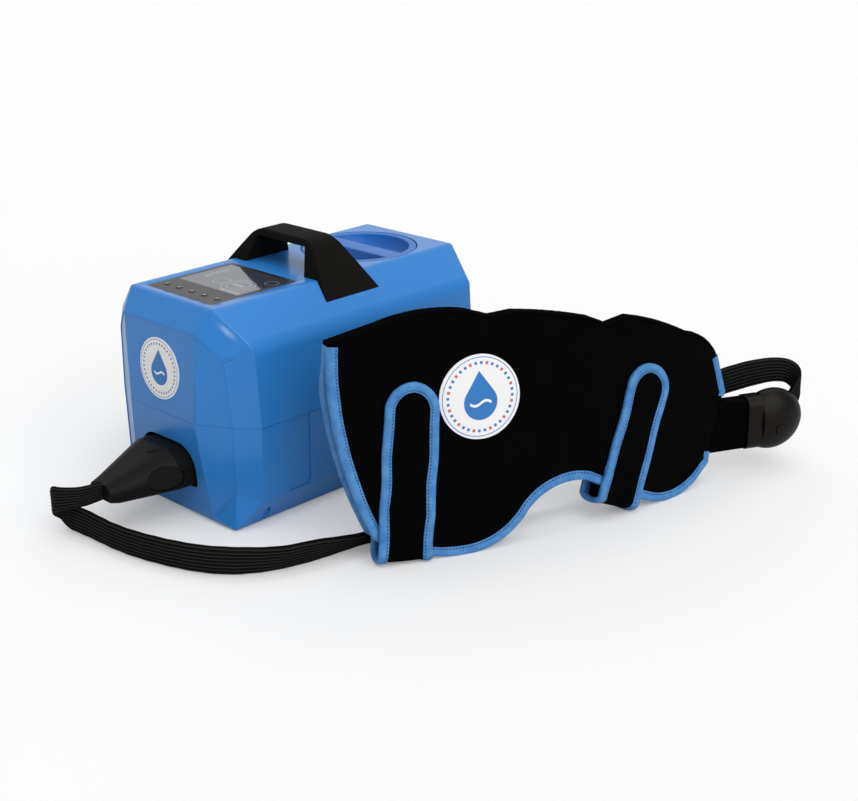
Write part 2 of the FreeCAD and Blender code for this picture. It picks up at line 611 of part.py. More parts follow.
plate("control_board", "board_width", "board_front - board_rear", "board_thick", 3, 0, board_middle,
      board_level + " - board_thick")
group("key_switches", *[box("key_switch", "switch_side", "switch_side", "switch_height",
                            x + " - switch_side / 2", "-button_y - switch_side / 2", board_level)
                        for x in button_places])
flange_top = "display_thick + button_proud + button_play"
stem_end = "display_thick + button_proud + board_drop - switch_height - button_travel - button_play"
flange_low = flange_top + " + button_flange_thick"
for name, x in zip(button_names, button_places):
    turned(name, [("0", "0"), ("button_radius", "0"), ("button_radius", "-(%s)" % flange_top),
                  ("button_flange", "-(%s)" % flange_top), ("button_flange", "-(%s)" % flange_low),
                  ("button_stem", "-(%s)" % flange_low), ("button_stem", "-(%s)" % stem_end),
                  ("0", "-(%s)" % stem_end)], x=x, y="-button_y", z="housing_height + button_proud")

# ---------------------------------------------------------------- cap, seal, filling neck
flange_z = "housing_height - cap_flange"
plug_radius = "neck_bore - neck_fit"
bowl_z = "housing_height - cap_bowl"
cap_form = turned("cap_form", [
    ("0", "housing_height"), ("cap_radius", "housing_height"), ("cap_radius", flange_z),
    (plug_radius, flange_z), (plug_radius, bowl_z + " - cap_floor - cap_skirt"),
    (plug_radius + " - cap_wall", bowl_z + " - cap_floor - cap_skirt"),
    (plug_radius + " - cap_wall", bowl_z + " - cap_floor"), ("0", bowl_z + " - cap_floor"),
], y="cap_y")
bowl = rod("cap_bowl_round", "cap_bowl_radius", "cap_bowl + 5", 0, "cap_y", bowl_z)
grip = box("cap_grip_bar", "4 * cap_bowl_radius", "cap_grip", "cap_bowl + 10", "-2 * cap_bowl_radius",
           "cap_y - cap_grip / 2", bowl_z + " - 1")
cut("tank_cap", cap_form, cut("cap_bowls", bowl, grip))
seat_z = flange_z + " - seal_thick - 2 * seal_fit"
seal_in = "neck_bore + 0.2"
turned("cap_seal", [
    (seal_in, seat_z + " + seal_fit"), (seal_in + " + seal_width", seat_z + " + seal_fit"),
    (seal_in + " + seal_width", flange_z + " - seal_fit"), (seal_in, flange_z + " - seal_fit"),
], y="cap_y")
guard_in = "cap_radius + neck_guard_fit"
guard_top = "housing_height - wall - neck_top_gap"
turned("fill_neck", [
    ("neck_bore", "tank_top"), ("neck_bore + neck_wall", "tank_top"),
    ("neck_bore + neck_wall", guard_top + " - neck_guard_drop"),
    (guard_in + " + neck_guard", guard_top + " - neck_guard_drop"), (guard_in + " + neck_guard", guard_top),
    (guard_in, guard_top), (guard_in, seat_z), ("neck_bore", seat_z),
], y="cap_y")

# ---------------------------------------------------------------- tank and what is in it
tank_low = "foot_height + wall + 2 * foam_fit + foam"
tank_depth = "tank_rear - tank_front"
tank_middle = "(tank_rear + tank_front) / 2"
tank_form = plate("tank_form", "2 * tank_half_width", tank_depth, "tank_top - (%s)" % tank_low, "tank_corner",
                  0, tank_middle, tank_low)
tank_room = plate("tank_room", "2 * (tank_half_width - tank_wall)", tank_depth + " - 2 * tank_wall",
                  "tank_top - (%s) - 2 * tank_wall" % tank_low, "tank_corner - tank_wall", 0, tank_middle,
                  tank_low + " + tank_wall")
front = Vector(0, 1, 0)
wall_holes = [("pipe_radius", "-pump_x", "pump_z"), ("pipe_radius", "return_x", "return_z"),
              ("heater_radius", "heater_x", "heater_z"),
              ("heater_radius", "heater_x - heater_pitch", "heater_z"), ("probe_radius", 0, "probe_z")]
tank_holes = [rod("tank_hole", r + " + tank_fit", 20, x, "tank_front - 10", z, front)
              for r, x, z in wall_holes]
mouth = rod("tank_mouth", "neck_bore", 40, 0, "cap_y", "tank_top - 20")
cut("water_tank", tank_form, tank_room, mouth, *tank_holes)
foam_form = plate("foam_form", "2 * (tank_half_width + foam_fit + foam)",
                  tank_depth + " + 2 * (foam_fit + foam)",
                  "tank_top - (%s) + 2 * (foam_fit + foam)" % tank_low, "tank_corner + foam_fit + foam", 0,
                  tank_middle, tank_low + " - foam_fit - foam")
foam_room = plate("foam_room", "2 * (tank_half_width + foam_fit)", tank_depth + " + 2 * foam_fit",
                  "tank_top - (%s) + 2 * foam_fit" % tank_low, "tank_corner + foam_fit", 0, tank_middle,
                  tank_low + " - foam_fit")
foam_holes = [rod("foam_hole", r + " + foam_fit", 30, x, "tank_front - 20", z, front)
              for r, x, z in wall_holes]
foam_mouth = rod("foam_mouth", "neck_bore + neck_wall + foam_fit", 40, 0, "cap_y", "tank_top - 10")
cut("tank_insulation", foam_form, foam_room, foam_mouth, *foam_holes)

tank_floor = tank_low + " + tank_wall"
filter_y = "tank_front + tank_wall + filter_radius + seat_gap"
screen = rod("filter_form", "filter_radius", "filter_height", "-pump_x", filter_y, tank_floor)
hollow = rod("filter_room", "filter_radius - filter_wall", "filter_height - filter_wall", "-pump_x", filter_y,
             tank_floor)
slots = [box("filter_slot_%d" % i, "filter_slot", "4 * filter_radius", "filter_height / 2",
             "-pump_x + (%d) * 2 * filter_slot - filter_slot / 2" % i, filter_y, tank_floor + " + 4")
         for i in (-1, 0, 1)]
filter_inlet = rod("filter_inlet", "pipe_radius + tank_fit", "filter_radius", "-pump_x",
                   filter_y + " - filter_radius - 1", "pump_z", front)
cut("intake_filter", screen, hollow, filter_inlet, *slots)

heater_front = mm("tank_front - foam - foam_fit - outer_end")
heater_back = mm("tank_front + heater_length")
heater_x = (mm("heater_x"), mm("heater_x - heater_pitch"))
heater_z = mm("heater_z")
heater_path, _ = tangent_path([(heater_x[0], heater_front, heater_z), (heater_x[0], heater_back, heater_z),
                               (heater_x[1], heater_back, heater_z), (heater_x[1], heater_front, heater_z)])
heater_end = Part.makeCircle(mm("heater_radius"), Vector(heater_x[0], heater_front, heater_z), front)
feature("heater_element", swept(heater_path, Part.Wire(heater_end)))
rod("temperature_probe", "probe_radius", "probe_length + foam + foam_fit + outer_end", 0,
    "tank_front - foam - foam_fit - outer_end", "probe_z", front)

# ---------------------------------------------------------------- water pump
pump_rear = "tank_front - pump_gap"
backwards = Rotation(Vector(0, 0, 1), Vector(0, -1, 0))
inlet_r = "pipe_radius + tank_fit"
shaft_hole = "shaft_radius + shaft_fit"
casing = turned("casing_form", [
    (inlet_r, "0"), ("pump_radius", "0"), ("pump_radius", "pump_length"), (shaft_hole, "pump_length"),
    (shaft_hole, "pump_length - pump_wall"), ("pump_radius - pump_wall", "pump_length - pump_wall"),
    ("pump_radius - pump_wall", "pump_wall"), (inlet_r, "pump_wall"),
], backwards, x="-pump_x", y=pump_rear, z="pump_z")
spout_y = pump_rear + " - spout_offset"
spout = rod("spout_form", "pipe_radius", "spout_length + pump_wall", "-pump_x", spout_y,
            "pump_z + pump_radius - pump_wall + 0.5")
spout_bore = rod("spout_bore", "pipe_radius - pipe_wall", "spout_length + 4 * pump_wall", "-pump_x", spout_y,
                 "pump_z + pump_radius - 2 * pump_wall")
cut("pump_casing", joined("casing_spout", casing, spout), spout_bore)
disc_low = "pump_length - pump_wall - running_gap - impeller_thick"
disc = rod("impeller_disc", "impeller_radius", "impeller_thick", "-pump_x", pump_rear + " - (%s)" % disc_low,
           "pump_z", Vector(0, -1, 0))
hub = rod("impeller_hub", "hub_radius", "blade_height", "-pump_x",
          pump_rear + " - (%s) + blade_height" % disc_low, "pump_z", Vector(0, -1, 0))
shaft = rod("impeller_shaft", "shaft_radius", "shaft_length", "-pump_x",
            pump_rear + " - (%s) - impeller_thick" % disc_low, "pump_z", Vector(0, -1, 0))
blades = []
for i in range(int(mm("blade_count"))):
    blade = box("impeller_blade_%d" % i, "impeller_radius - 1", "blade_height", "blade_thick", 0, 0, 0)
    turn = Rotation(Vector(0, 1, 0), 360.0 * i / mm("blade_count"))
    rest = Vector(0, 0, -mm("blade_thick") / 2)
    for axis in "xyz":
        blade.setExpression("Placement.Base." + axis, None)
    centre = Vector(-mm("pump_x"), mm(pump_rear + " - (%s)" % disc_low), mm("pump_z"))
    blade.Placement = Placement(centre, turn).multiply(Placement(rest, Rotation()))
    blades.append(blade)
joined("pump_impeller", disc, hub, shaft, *blades)
turned("pump_motor", [
    (shaft_hole, "0"), ("motor_radius", "0"), ("motor_radius", "motor_length"), ("0", "motor_length"),
    ("0", "shaft_length"), (shaft_hole, "shaft_length"),
], backwards, x="-pump_x", y=pump_rear + " - pump_length", z="pump_z")

# ---------------------------------------------------------------- air pump and valve
inner_floor = "foot_height + wall"
plate("air_pump", "air_pump_width", "air_pump_depth", "air_pump_height", "air_pump_corner", "air_pump_x",
      "-air_pump_front + air_pump_depth / 2", inner_floor + " + seat_gap")
valve_y = "-air_pump_front - seat_gap - valve_side / 2"
valve_low = inner_floor + " + seat_gap"
valve = box("valve_form", "valve_side", "valve_side", "valve_height", "air_pump_x - valve_side / 2",
            "-air_pump_front - seat_gap - valve_side", valve_low)
plunger_z = valve_low + " + valve_height - plunger_length + plunger_travel"
valve_bore = rod("valve_bore", "plunger_radius + plunger_fit", "valve_height", "air_pump_x", valve_y,
                 plunger_z + " - plunger_travel - seat_gap")
cut("valve_body", valve, valve_bore)
rod("valve_plunger", "plunger_radius", "plunger_length", "air_pump_x", valve_y, plunger_z)

# ---------------------------------------------------------------- power board and inlet
parts = [
    box("power_board_plate", "2 * power_board_x", "board_thick", "power_board_height", "-power_board_x",
        str(board_y), "power_board_z"),
    box("power_transformer", "transformer", "part_height", "transformer", "-power_board_x + part_height",
        "%s + board_thick" % board_y, "power_board_z + part_height"),
    rod("power_capacitor", "capacitor_radius", "part_height", 0, "%s + board_thick" % board_y,
        "power_board_z + 3 * capacitor_radius", front),
    rod("power_capacitor", "capacitor_radius", "part_height", "-transformer / 5",
        "%s + board_thick" % board_y, "power_board_z + 7 * capacitor_radius", front),
]
joined("power_board", *parts)
inlet_y = "inlet_reach - inlet_depth - inlet_flange_thick"
turned("power_inlet", [
    ("inlet_bore", "0"), ("inlet_flange", "0"), ("inlet_flange", "-inlet_flange_thick"),
    ("inlet_radius", "-inlet_flange_thick"), ("inlet_radius", "-inlet_flange_thick - inlet_depth"),
    ("inlet_bore", "-inlet_flange_thick - inlet_depth"),
], backwards, x="inlet_x", y=inlet_y, z="inlet_z")

# ---------------------------------------------------------------- hose socket with its ports
def between(face, start, end):
    """A face at y = 0 extruded from start to end along Y."""
    face.translate(Vector(0, start, 0))
    return face.extrude(Vector(0, end - start, 0))


socket_back = -mm("socket_back")
cup = between(socket_face(0, mm("socket_wall")), -far, socket_back + mm("socket_wall")).common(room)
cup = cup.cut(between(socket_face(0), -far, socket_back))
port_xs = [i * mm("port_pitch") for i in (-1, 0, 1)]
port_holes = [post(mm("port_radius + port_fit"), x, socket_back - 50, mm("port_z"), 100, front)
              for x in port_xs]
feature("connector_socket", cup.cut(port_holes))
tail_end = socket_back + mm("socket_wall + port_tail")
ports = []
for x in ("-port_pitch", "0", "port_pitch"):
    stem = rod("port_tube", "port_radius", "port_length + socket_wall + port_tail", x,
               "-socket_back - port_length", "port_z", front)
    drill = rod("port_bore_hole", "port_bore", "port_length + socket_wall + port_tail + 2", x,
               "-socket_back - port_length - 1", "port_z", front)
    ports.append(cut("socket_port", stem, drill))
group("socket_ports", *ports)

# ---------------------------------------------------------------- pipes
pipe_r, pipe_bore = mm("pipe_radius"), mm("pipe_radius - pipe_wall")
port_z, tank_front = mm("port_z"), mm("tank_front")
pump_x, spout_at = -mm("pump_x"), mm(spout_y)
spout_top = mm("pump_z + pump_radius + 0.5 + spout_length")
filter_side = mm(filter_y + " - filter_radius + filter_wall")
suction = post(pipe_r, pump_x, mm(pump_rear) - mm("pump_wall"), mm("pump_z"),
               filter_side - mm(pump_rear) + mm("pump_wall"), front)
feature("suction_pipe", suction.cut(post(pipe_bore, pump_x, mm(pump_rear) - 50, mm("pump_z"), 150, front)))
feature("delivery_pipe", tube([
    (pump_x, spout_at, spout_top), (pump_x, spout_at, spout_top + 22),
    (pump_x + 4, spout_at - 30, spout_top + 26), (port_xs[0], tail_end + 40, port_z + 24),
    (port_xs[0], tail_end + 22, port_z), (port_xs[0], tail_end, port_z),
], pipe_r, pipe_bore))
return_x, return_z = mm("return_x"), mm("return_z")
feature("return_pipe", tube([
    (port_xs[2], tail_end, port_z), (port_xs[2], tail_end + 38, port_z),
    (port_xs[2], tank_front - 70, return_z - 10),
    (return_x, tank_front - 36, return_z), (return_x, tank_front + mm("tank_wall") + 3, return_z),
], pipe_r, pipe_bore))
valve_side_x = mm("air_pump_x - valve_side / 2")
air_z = mm(valve_low) + mm("valve_height") / 2
feature("air_line", tube([
    (valve_side_x, mm(valve_y), air_z), (valve_side_x - 22, mm(valve_y), air_z),
    (0, mm(valve_y) - 14, air_z + 18),
    (0, tail_end + 26, port_z), (0, tail_end, port_z),
], mm("air_pipe_radius"), mm("air_pipe_radius - pipe_wall")))

# ---------------------------------------------------------------- feet, screws, badge
corners = [("foot_x", "foot_y"), ("-foot_x", "foot_y"), ("-foot_x", "-foot_y"), ("foot_x", "-foot_y")]
group("rubber_feet", *[rod("rubber_foot", "foot_radius", "foot_height + foot_recess", x, y, 0)
                       for x, y in corners])
for i in ("", "-"):
    for j in ("", "-"):
        shaft = rod("housing_screw_shaft", "screw_radius", "screw_length", i + "post_x", j + "post_y",
                    "well_depth")
        head = rod("housing_screw_head", "screw_head_radius", "screw_head", i + "post_x", j + "post_y",
                   "well_depth - screw_head")
        screws.append(joined("housing_screw", shaft, head))
group("screws", *screws)
panel_tilt = math.atan((mm("belly_reach") - mm("brow_reach")) / (mm("brow_height") - seam_z))
badge_drop = mm("brow_height - badge_height")
badge_y = -mm("top_half_length + brow_reach") - math.tan(panel_tilt) * badge_drop
panel_normal = Vector(0, -math.cos(panel_tilt), math.sin(panel_tilt))
rod("front_disc", "badge_radius", "badge_thick", 0, str(badge_y), "badge_height", panel_normal)

# ---------------------------------------------------------------- plug of the hose
def plug_solid(inset, front_y, end_y):
    """The plug's outer form with every face moved in by inset, between two planes."""
    def section(y, kind, shrink=0):
        values = [mm(kind + name) for name in ("half_width", "low", "high", "flat", "shoulder", "corner")]
        half_width, low, high, flat, shoulder, corner = values
        t = inset + shrink
        outline = d_face(y, half_width - t, low + t, high - t, flat - t / 2, shoulder, max(corner - t, 1.5))
        return outline.OuterWire

    waist, nose = -mm("plug_waist"), -mm("nose_start")
    handgrip = Part.makeLoft([section(waist, "plug_"), section(nose, "nose_")], True, True)
    tip = Part.makeLoft([section(nose, "nose_"), section(end_y, "nose_", mm("nose_round"))], True, True)
    straight = Part.Face(section(front_y, "plug_")).extrude(Vector(0, waist - front_y, 0))
    return straight.fuse([handgrip, tip]).removeSplitter()


plug_front, plug_end, plug_wall = -mm("plug_front"), -mm("plug_end"), mm("plug_wall")
plug_form = plug_solid(0, plug_front, plug_end)
plug_room = plug_solid(plug_wall, plug_front - plug_wall, plug_end + plug_wall)
bend_x = (mm("plug_half_width") - mm("nose_half_width")) / (mm("nose_start") - mm("plug_waist"))
release_x = mm("plug_half_width") - bend_x * (mm("release_y") - mm("plug_waist"))
taper = math.atan(bend_x)


def release_column(side, margin, inner, outer):
    """An oval column square to the plug's tapered side, from inner to outer depth."""
    oval = Part.Ellipse(Vector(), mm("release_length") / 2 + margin, mm("release_height") / 2 + margin)
    column = Part.Face(Part.Wire(oval.toShape())).extrude(Vector(0, 0, outer - inner))
    normal = Vector(side * math.cos(taper), -math.sin(taper), 0)
    along = Vector(-side * math.sin(taper), -math.cos(taper), 0)
    spot = Vector(side * release_x, -mm("release_y"), mm("release_z")) + normal * inner
    column.Placement = Placement(spot, Rotation(along, normal.cross(along), normal, "XYZ"))
    return column


nose_z = mm("(nose_low + nose_high) / 2")
gland = block(-mm("tube_radius") - 0.5, plug_end - 10, nose_z - mm("tube_spread + tube_radius + 0.4"),
              mm("2 * tube_radius") + 1, 20 + plug_wall, mm("2 * (tube_spread + tube_radius + 0.4)"))
port_out = mm("port_radius + plug_port_fit + plug_port_wall")
port_ways = [post(port_out + mm("port_fit"), x, plug_front - 2 * plug_wall, port_z, 3 * plug_wall, front)
             for x in port_xs]
release_reach = mm("4 * (plug_wall + release_thick)")
release_ways = [release_column(side, mm("release_gap"), -release_reach, 20) for side in (-1, 1)]
plug_shell = plug_form.cut([plug_room, gland] + port_ways + release_ways)
split, split_gap = mm("plug_split"), mm("plug_seam")
feature("plug_lower_shell", plug_shell.common(block(-far, -far, split - far, 2 * far, 2 * far, far)))
feature("plug_upper_shell", plug_shell.common(block(-far, -far, split + split_gap, 2 * far, 2 * far, far)))
for side, name in ((-1, "release_button_left"), (1, "release_button_right")):
    thick, play = mm("release_thick"), mm("release_play")
    depth = plug_wall + thick
    core = plug_solid(depth, plug_front - depth, plug_end + depth)
    pad_form = release_column(side, 0, -release_reach, 20).common(
        plug_solid(-mm("release_proud"), plug_front, plug_end))
    lip = release_column(side, mm("release_lip"), -release_reach, 20).common(
        plug_solid(plug_wall + play, plug_front - plug_wall, plug_end + plug_wall))
    feature(name, pad_form.fuse(lip).cut(core).removeSplitter())
plug_ports = []
port_back = "plug_port_end - plug_port_front"
port_outer = "port_radius + plug_port_fit + plug_port_wall"
for i, x in enumerate(("-port_pitch", "0", "port_pitch")):
    radius, hollow_r = (("air_tube_radius", "air_tube_bore"), ("tube_radius", "tube_bore"))[i != 1]
    plug_ports.append(turned("plug_port_%d" % i, [
        ("port_radius + plug_port_fit", "0"), (port_outer, "0"),
        (port_outer, "plug_port_depth + plug_port_wall"),
        (radius, "plug_port_depth + plug_port_wall"), (radius, port_back), (hollow_r, port_back),
        (hollow_r, "plug_port_depth"), ("port_radius + plug_port_fit", "plug_port_depth"),
    ], backwards, x=x, y="-plug_port_front", z="port_z"))

tube_r, tube_bore = mm("tube_radius"), mm("tube_bore")
air_r, air_bore = mm("air_tube_radius"), mm("air_tube_bore")
spread, ports_end = mm("tube_spread"), -mm("plug_port_end")
plug_tubes = [
    tube([(port_xs[0], ports_end, port_z), (port_xs[0], ports_end - 12, port_z),
          (-8, ports_end - 44, nose_z + spread + 1), (0, plug_end + 18, nose_z + spread),
          (0, plug_end, nose_z + spread)], tube_r, tube_bore),
    tube([(0, ports_end, port_z), (0, ports_end - 12, port_z), (0, ports_end - 40, nose_z),
          (0, plug_end, nose_z)], air_r, air_bore),
    tube([(port_xs[2], ports_end, port_z), (port_xs[2], ports_end - 12, port_z),
          (9, ports_end - 44, nose_z - spread + 1), (0, plug_end + 18, nose_z - spread),
          (0, plug_end, nose_z - spread)], tube_r, tube_bore),
]
plug_tails = [feature("plug_tail_%d" % i, plug_tube) for i, plug_tube in enumerate(plug_tubes)]
group("plug_ports", *[joined("plug_way_%d" % i, *pair) for i, pair in enumerate(zip(plug_ports, plug_tails))])


# ---------------------------------------------------------------- coupling at the wrap
coupling_turn = Rotation(Vector(0, 0, 1), -mm("coupling_heading"))
coupling_place = Placement(Vector(mm("coupling_x"), mm("coupling_y"), mm("coupling_z")), coupling_turn)
dome_near, dome_far, dome_middle = mm("dome_near"), mm("dome_far"), mm("dome_middle")
dome_wall = mm("dome_wall")


def dome_solid(inset, near):
    """Half egg along +Y from a flat face at near, every face moved in by inset."""
    egg = Part.makeSphere(1)
    stretch = FreeCAD.Matrix()
    stretch.scale(mm("dome_thick") / 2 - inset, dome_far - dome_middle - inset, mm("dome_height") / 2 - inset)
    egg = egg.transformGeometry(stretch)
    egg.translate(Vector(0, dome_middle, 0))
    return egg.common(block(-far, near, -far, 2 * far, far, 2 * far))


pin_rise, pin_r = mm("coupling_pin_rise"), mm("coupling_pin_radius")
latch_y, latch_z, latch_half = mm("latch_along"), mm("latch_z"), mm("latch_side") / 2


def latch_column(margin):
    side = 2 * (latch_half + margin)
    return block(0, latch_y - side / 2, latch_z - side / 2, 60, side, side)


dome_form = dome_solid(0, dome_near)
dome_room = dome_solid(dome_wall, dome_near + dome_wall)
pin_ways = [post(pin_r + mm("port_fit"), 0, dome_near - 5, z, 20, front) for z in (-pin_rise, pin_rise)]
dome_shell = dome_form.cut([dome_room, latch_column(mm("latch_gap"))] + pin_ways)
dome_half = mm("dome_seam") / 2
feature("coupling_dome", dome_shell.common(block(dome_half, -far, -far, far, 2 * far, 2 * far)),
        coupling_place)
feature("coupling_back_shell", dome_shell.common(block(-far, -far, -far, far - dome_half, 2 * far, 2 * far)),
        coupling_place)
latch_depth = dome_wall + mm("latch_play") + mm("latch_depth")
latch_pad = latch_column(0).common(dome_solid(-mm("latch_proud"), dome_near))
latch_lip = latch_column(mm("latch_lip")).common(
    dome_solid(dome_wall + mm("latch_play"), dome_near + dome_wall))
latch = latch_pad.fuse(latch_lip).cut(dome_solid(latch_depth, dome_near))
feature("coupling_latch", latch.removeSplitter(), coupling_place)
pin_length = mm("coupling_pin_length") + dome_near - mm("collar_far") + mm("coupling_pin_tail")
pins = []
for z in (-pin_rise, pin_rise):
    pin_start = mm("collar_far - coupling_pin_length")
    flange = post(pin_r + 2, 0, dome_near + dome_wall, z, 2.5, front)
    pin = post(pin_r, 0, pin_start, z, pin_length, front).fuse(flange)
    pins.append(pin.cut(post(mm("coupling_pin_bore"), 0, pin_start - 1, z, pin_length + 2, front)))
feature("coupling_ports", Part.makeCompound(pins), coupling_place)

collar_form = plate("collar_form", "collar_thick", "collar_height", "collar_far - collar_near",
                    "collar_corner", 0, 0, 0)
collar_bores = [rod("collar_bore", "coupling_pin_radius + coupling_pin_fit", "collar_far", 0,
                    z + "coupling_pin_rise", "-1") for z in ("", "-")]
collar = cut("wrap_collar", collar_form, *collar_bores)
stand_up = Placement(Vector(0, mm("collar_near"), 0), Rotation(Vector(0, 0, 1), Vector(0, 1, 0)))
collar.Placement = coupling_place.multiply(stand_up)

# ---------------------------------------------------------------- hose: woven sleeve and its tubes
hose_path, hose_radii = tangent_path(hose_route)
hose_start = Vector(*hose_route[0])


def stadium(width, thick):
    """Section of the sleeve, long side upright, at the start of the hose."""
    r, reach = thick / 2, (width - thick) / 2
    spots = [Vector(-r, 0, -reach), Vector(-r, 0, reach), Vector(0, 0, reach + r), Vector(r, 0, reach),
             Vector(r, 0, -reach), Vector(0, 0, -reach - r)]
    outline = [Part.LineSegment(spots[0], spots[1]), Part.Arc(spots[1], spots[2], spots[3]),
               Part.LineSegment(spots[3], spots[4]), Part.Arc(spots[4], spots[5], spots[0])]
    wire = Part.Wire([e.toShape() for e in outline])
    wire.translate(hose_start)
    return wire


skin = 2 * mm("sleeve_skin")
sleeve_outer = swept(hose_path, stadium(mm("sleeve_width"), mm("sleeve_thick")), True)
sleeve_inner = swept(hose_path, stadium(mm("sleeve_width") - skin, mm("sleeve_thick") - skin), True)
dome_block = dome_form.copy()
dome_block.Placement = coupling_place
sleeve = sleeve_outer.cut(sleeve_inner).cut(dome_block)
feature("hose_sleeve", max(sleeve.Solids, key=lambda s: s.Volume))
hose_tubes = []
tube_sizes = [(spread, tube_r, tube_bore), (0, air_r, air_bore), (-spread, tube_r, tube_bore)]
for rise, outer_r, inner_r in tube_sizes:
    centre = hose_start + Vector(0, 0, rise)
    rings = [Part.Wire(Part.makeCircle(r, centre, front)) for r in (outer_r, inner_r)]
    solids = [swept(hose_path, ring, True) for ring in rings]
    one = solids[0].cut(solids[1]).cut(dome_block)
    hose_tubes.append(max(one.Solids, key=lambda s: s.Volume))
feature("hose_tubes", Part.makeCompound(hose_tubes))

# ---------------------------------------------------------------- wrap
wrap_radius, layer = mm("wrap_radius"), mm("layer")
lean = math.radians(mm("wrap_lean"))
wrap_place = Placement(Vector(mm("wrap_x"), mm("wrap_y"), 0), Rotation(Vector(0, 0, 1), -mm("wrap_heading")))
wrap_axis = Vector(-wrap_radius, 0, 0)


def cone(depth):
    """Everything inside the leaning wall's face at a depth behind its front."""
    low, high = wrap_radius - depth, mm("wrap_height + binding")
    return Part.makeCone(low, low - math.tan(lean) * high, high, wrap_axis)


def wall_part(face, near, deep):
    """The part of the leaning wall under a flat outline, between two depths."""
    slab = face.extrude(Vector(3 * mm("wrap_sweep"), 0, 0))
    return slab.common(cone(near)).cut(cone(deep))


def outline_face():
    spots = {name: Vector(0, mm(along), mm(height)) for name, (along, height) in outline_spots.items()}
    names = ["corner"] + list(spots)
    runs, i = [], 0
    while i < len(names) - 1:
        if names[i + 1] in outline_arcs:
            runs.append(Part.Arc(*[spots[n] for n in names[i:i + 3]]).toShape())
            i += 2
        else:
            runs.append(Part.LineSegment(spots[names[i]], spots[names[i + 1]]).toShape())
            i += 1
    face = Part.Face(Part.Wire(runs))
    face.translate(Vector(-mm("2.5 * wrap_sweep"), 0, 0))
    return face


whole = outline_face()
start_x = whole.BoundBox.XMin
rim = whole.cut(whole.makeOffset2D(-mm("binding")))
reach = -mm("binding_left_reach")
left_zone = Part.makeBox(20, far, mm("binding_left_top") + 20, Vector(start_x - 10, reach - far, -20))
right_zone = Part.makeBox(20, 2 * far, mm("binding_right_top") + 20, Vector(start_x - 10, reach, -20))
zone = left_zone.fuse(right_zone).removeSplitter()
edging = rim.common(zone)
field = whole.cut(edging)
proud = mm("binding_proud")
bladder_deep = layer + mm("bladder")
feature("wrap_front_panel", wall_part(field, 0, layer), wrap_place)
feature("wrap_front_binding", wall_part(edging, -proud, layer), wrap_place)
feature("wrap_bladder", wall_part(whole.makeOffset2D(-mm("bladder_margin")), layer, bladder_deep), wrap_place)
feature("wrap_rear_panel", wall_part(field, bladder_deep, bladder_deep + layer), wrap_place)
feature("wrap_rear_binding", wall_part(edging, bladder_deep, bladder_deep + layer + proud), wrap_place)
patch_spot = Vector(start_x, mm("patch_u"), mm("patch_z"))
patch_ring = Part.makeCircle(mm("patch_radius"), patch_spot, Vector(1, 0, 0))
feature("wrap_patch", wall_part(Part.Face(Part.Wire(patch_ring)), -mm("patch_thick + patch_gap"),
                                -mm("patch_gap")), wrap_place)

clear = mm("neck_clearance")
envelope = wall_part(whole.makeOffset2D(clear), -proud - clear, bladder_deep + layer + proud + clear)
envelope.Placement = wrap_place


def neck_section(along, height, thick):
    corner = Vector(-thick / 2, along, -height / 2)
    return Part.makePolygon([corner, corner + Vector(thick, 0, 0), corner + Vector(thick, 0, height),
                             corner + Vector(0, 0, height), corner])


neck = Part.makeLoft([
    neck_section(-mm("neck_start"), mm("neck_height"), mm("neck_thick")),
    neck_section(mm("collar_near"), mm("neck_collar_height"), mm("neck_collar_thick")),
], True, True)
neck.Placement = coupling_place
neck = neck.cut(envelope)
feature("wrap_neck", max(neck.Solids, key=lambda s: s.Volume))


# ---------------------------------------------------------------- closing straps
def strap_place(kind):
    """Frame of a strap: X along its foot, Y up the strap, Z out of the wall; origin at its foot."""
    tilt, length = math.radians(mm(kind + "strap_tilt")), mm(kind + "strap_length")
    middle_u = mm(kind + "strap_u") + length / 2 * math.sin(tilt)
    middle_z = mm(kind + "strap_z") + length / 2 * math.cos(tilt)
    radius = wrap_radius - math.tan(lean) * middle_z
    turn = math.asin(middle_u / radius)
    spot = wrap_axis + Vector(radius * math.cos(turn), middle_u, middle_z)
    tangent = Vector(-math.sin(turn), math.cos(turn), 0)
    outward = Vector(math.cos(lean) * math.cos(turn), math.cos(lean) * math.sin(turn), math.sin(lean))
    uphill = outward.cross(tangent)
    along = uphill * math.cos(tilt) + tangent * math.sin(tilt)
    across = tangent * math.cos(tilt) - uphill * math.sin(tilt)
    foot = spot - along * (length / 2) + outward * mm("strap_gap")
    return wrap_place.multiply(Placement(foot, Rotation(across, along, outward, "XYZ")))


def strap_slab(label, kind, edge, low, thick):
    """A slab with a round head whose outline lies edge inside the strap's own."""
    half = "(%sstrap_width / 2 - %s)" % (kind, edge)
    top = "%sstrap_length - %s" % (kind, edge)
    slab = body(label)
    outline = [("-" + half, "0"), (half, "0"), (half, top), ("-" + half, top)]
    pad(slab, sketch(slab, "Outline", "XY_Plane", outline, offset=low), thick)
    limit = mm(top) - 1
    head = edges(slab, lambda b: upright(b) and b.YMin > limit)
    fillet(slab, head, half + " - 0.5")
    slab.Placement = strap_place(kind)
    return slab


for kind in ("long_", "short_"):
    strap_slab(kind + "strap", kind, "strap_edge", "0", "strap_thick")
    rim_form = strap_slab(kind + "strap_rim", kind, "0", "-strap_proud", "strap_thick + 2 * strap_proud")
    rim_room = strap_slab(kind + "strap_room", kind, "strap_edge", "-strap_thick", "3 * strap_thick")
    cut(kind + "strap_binding", rim_form, rim_room)

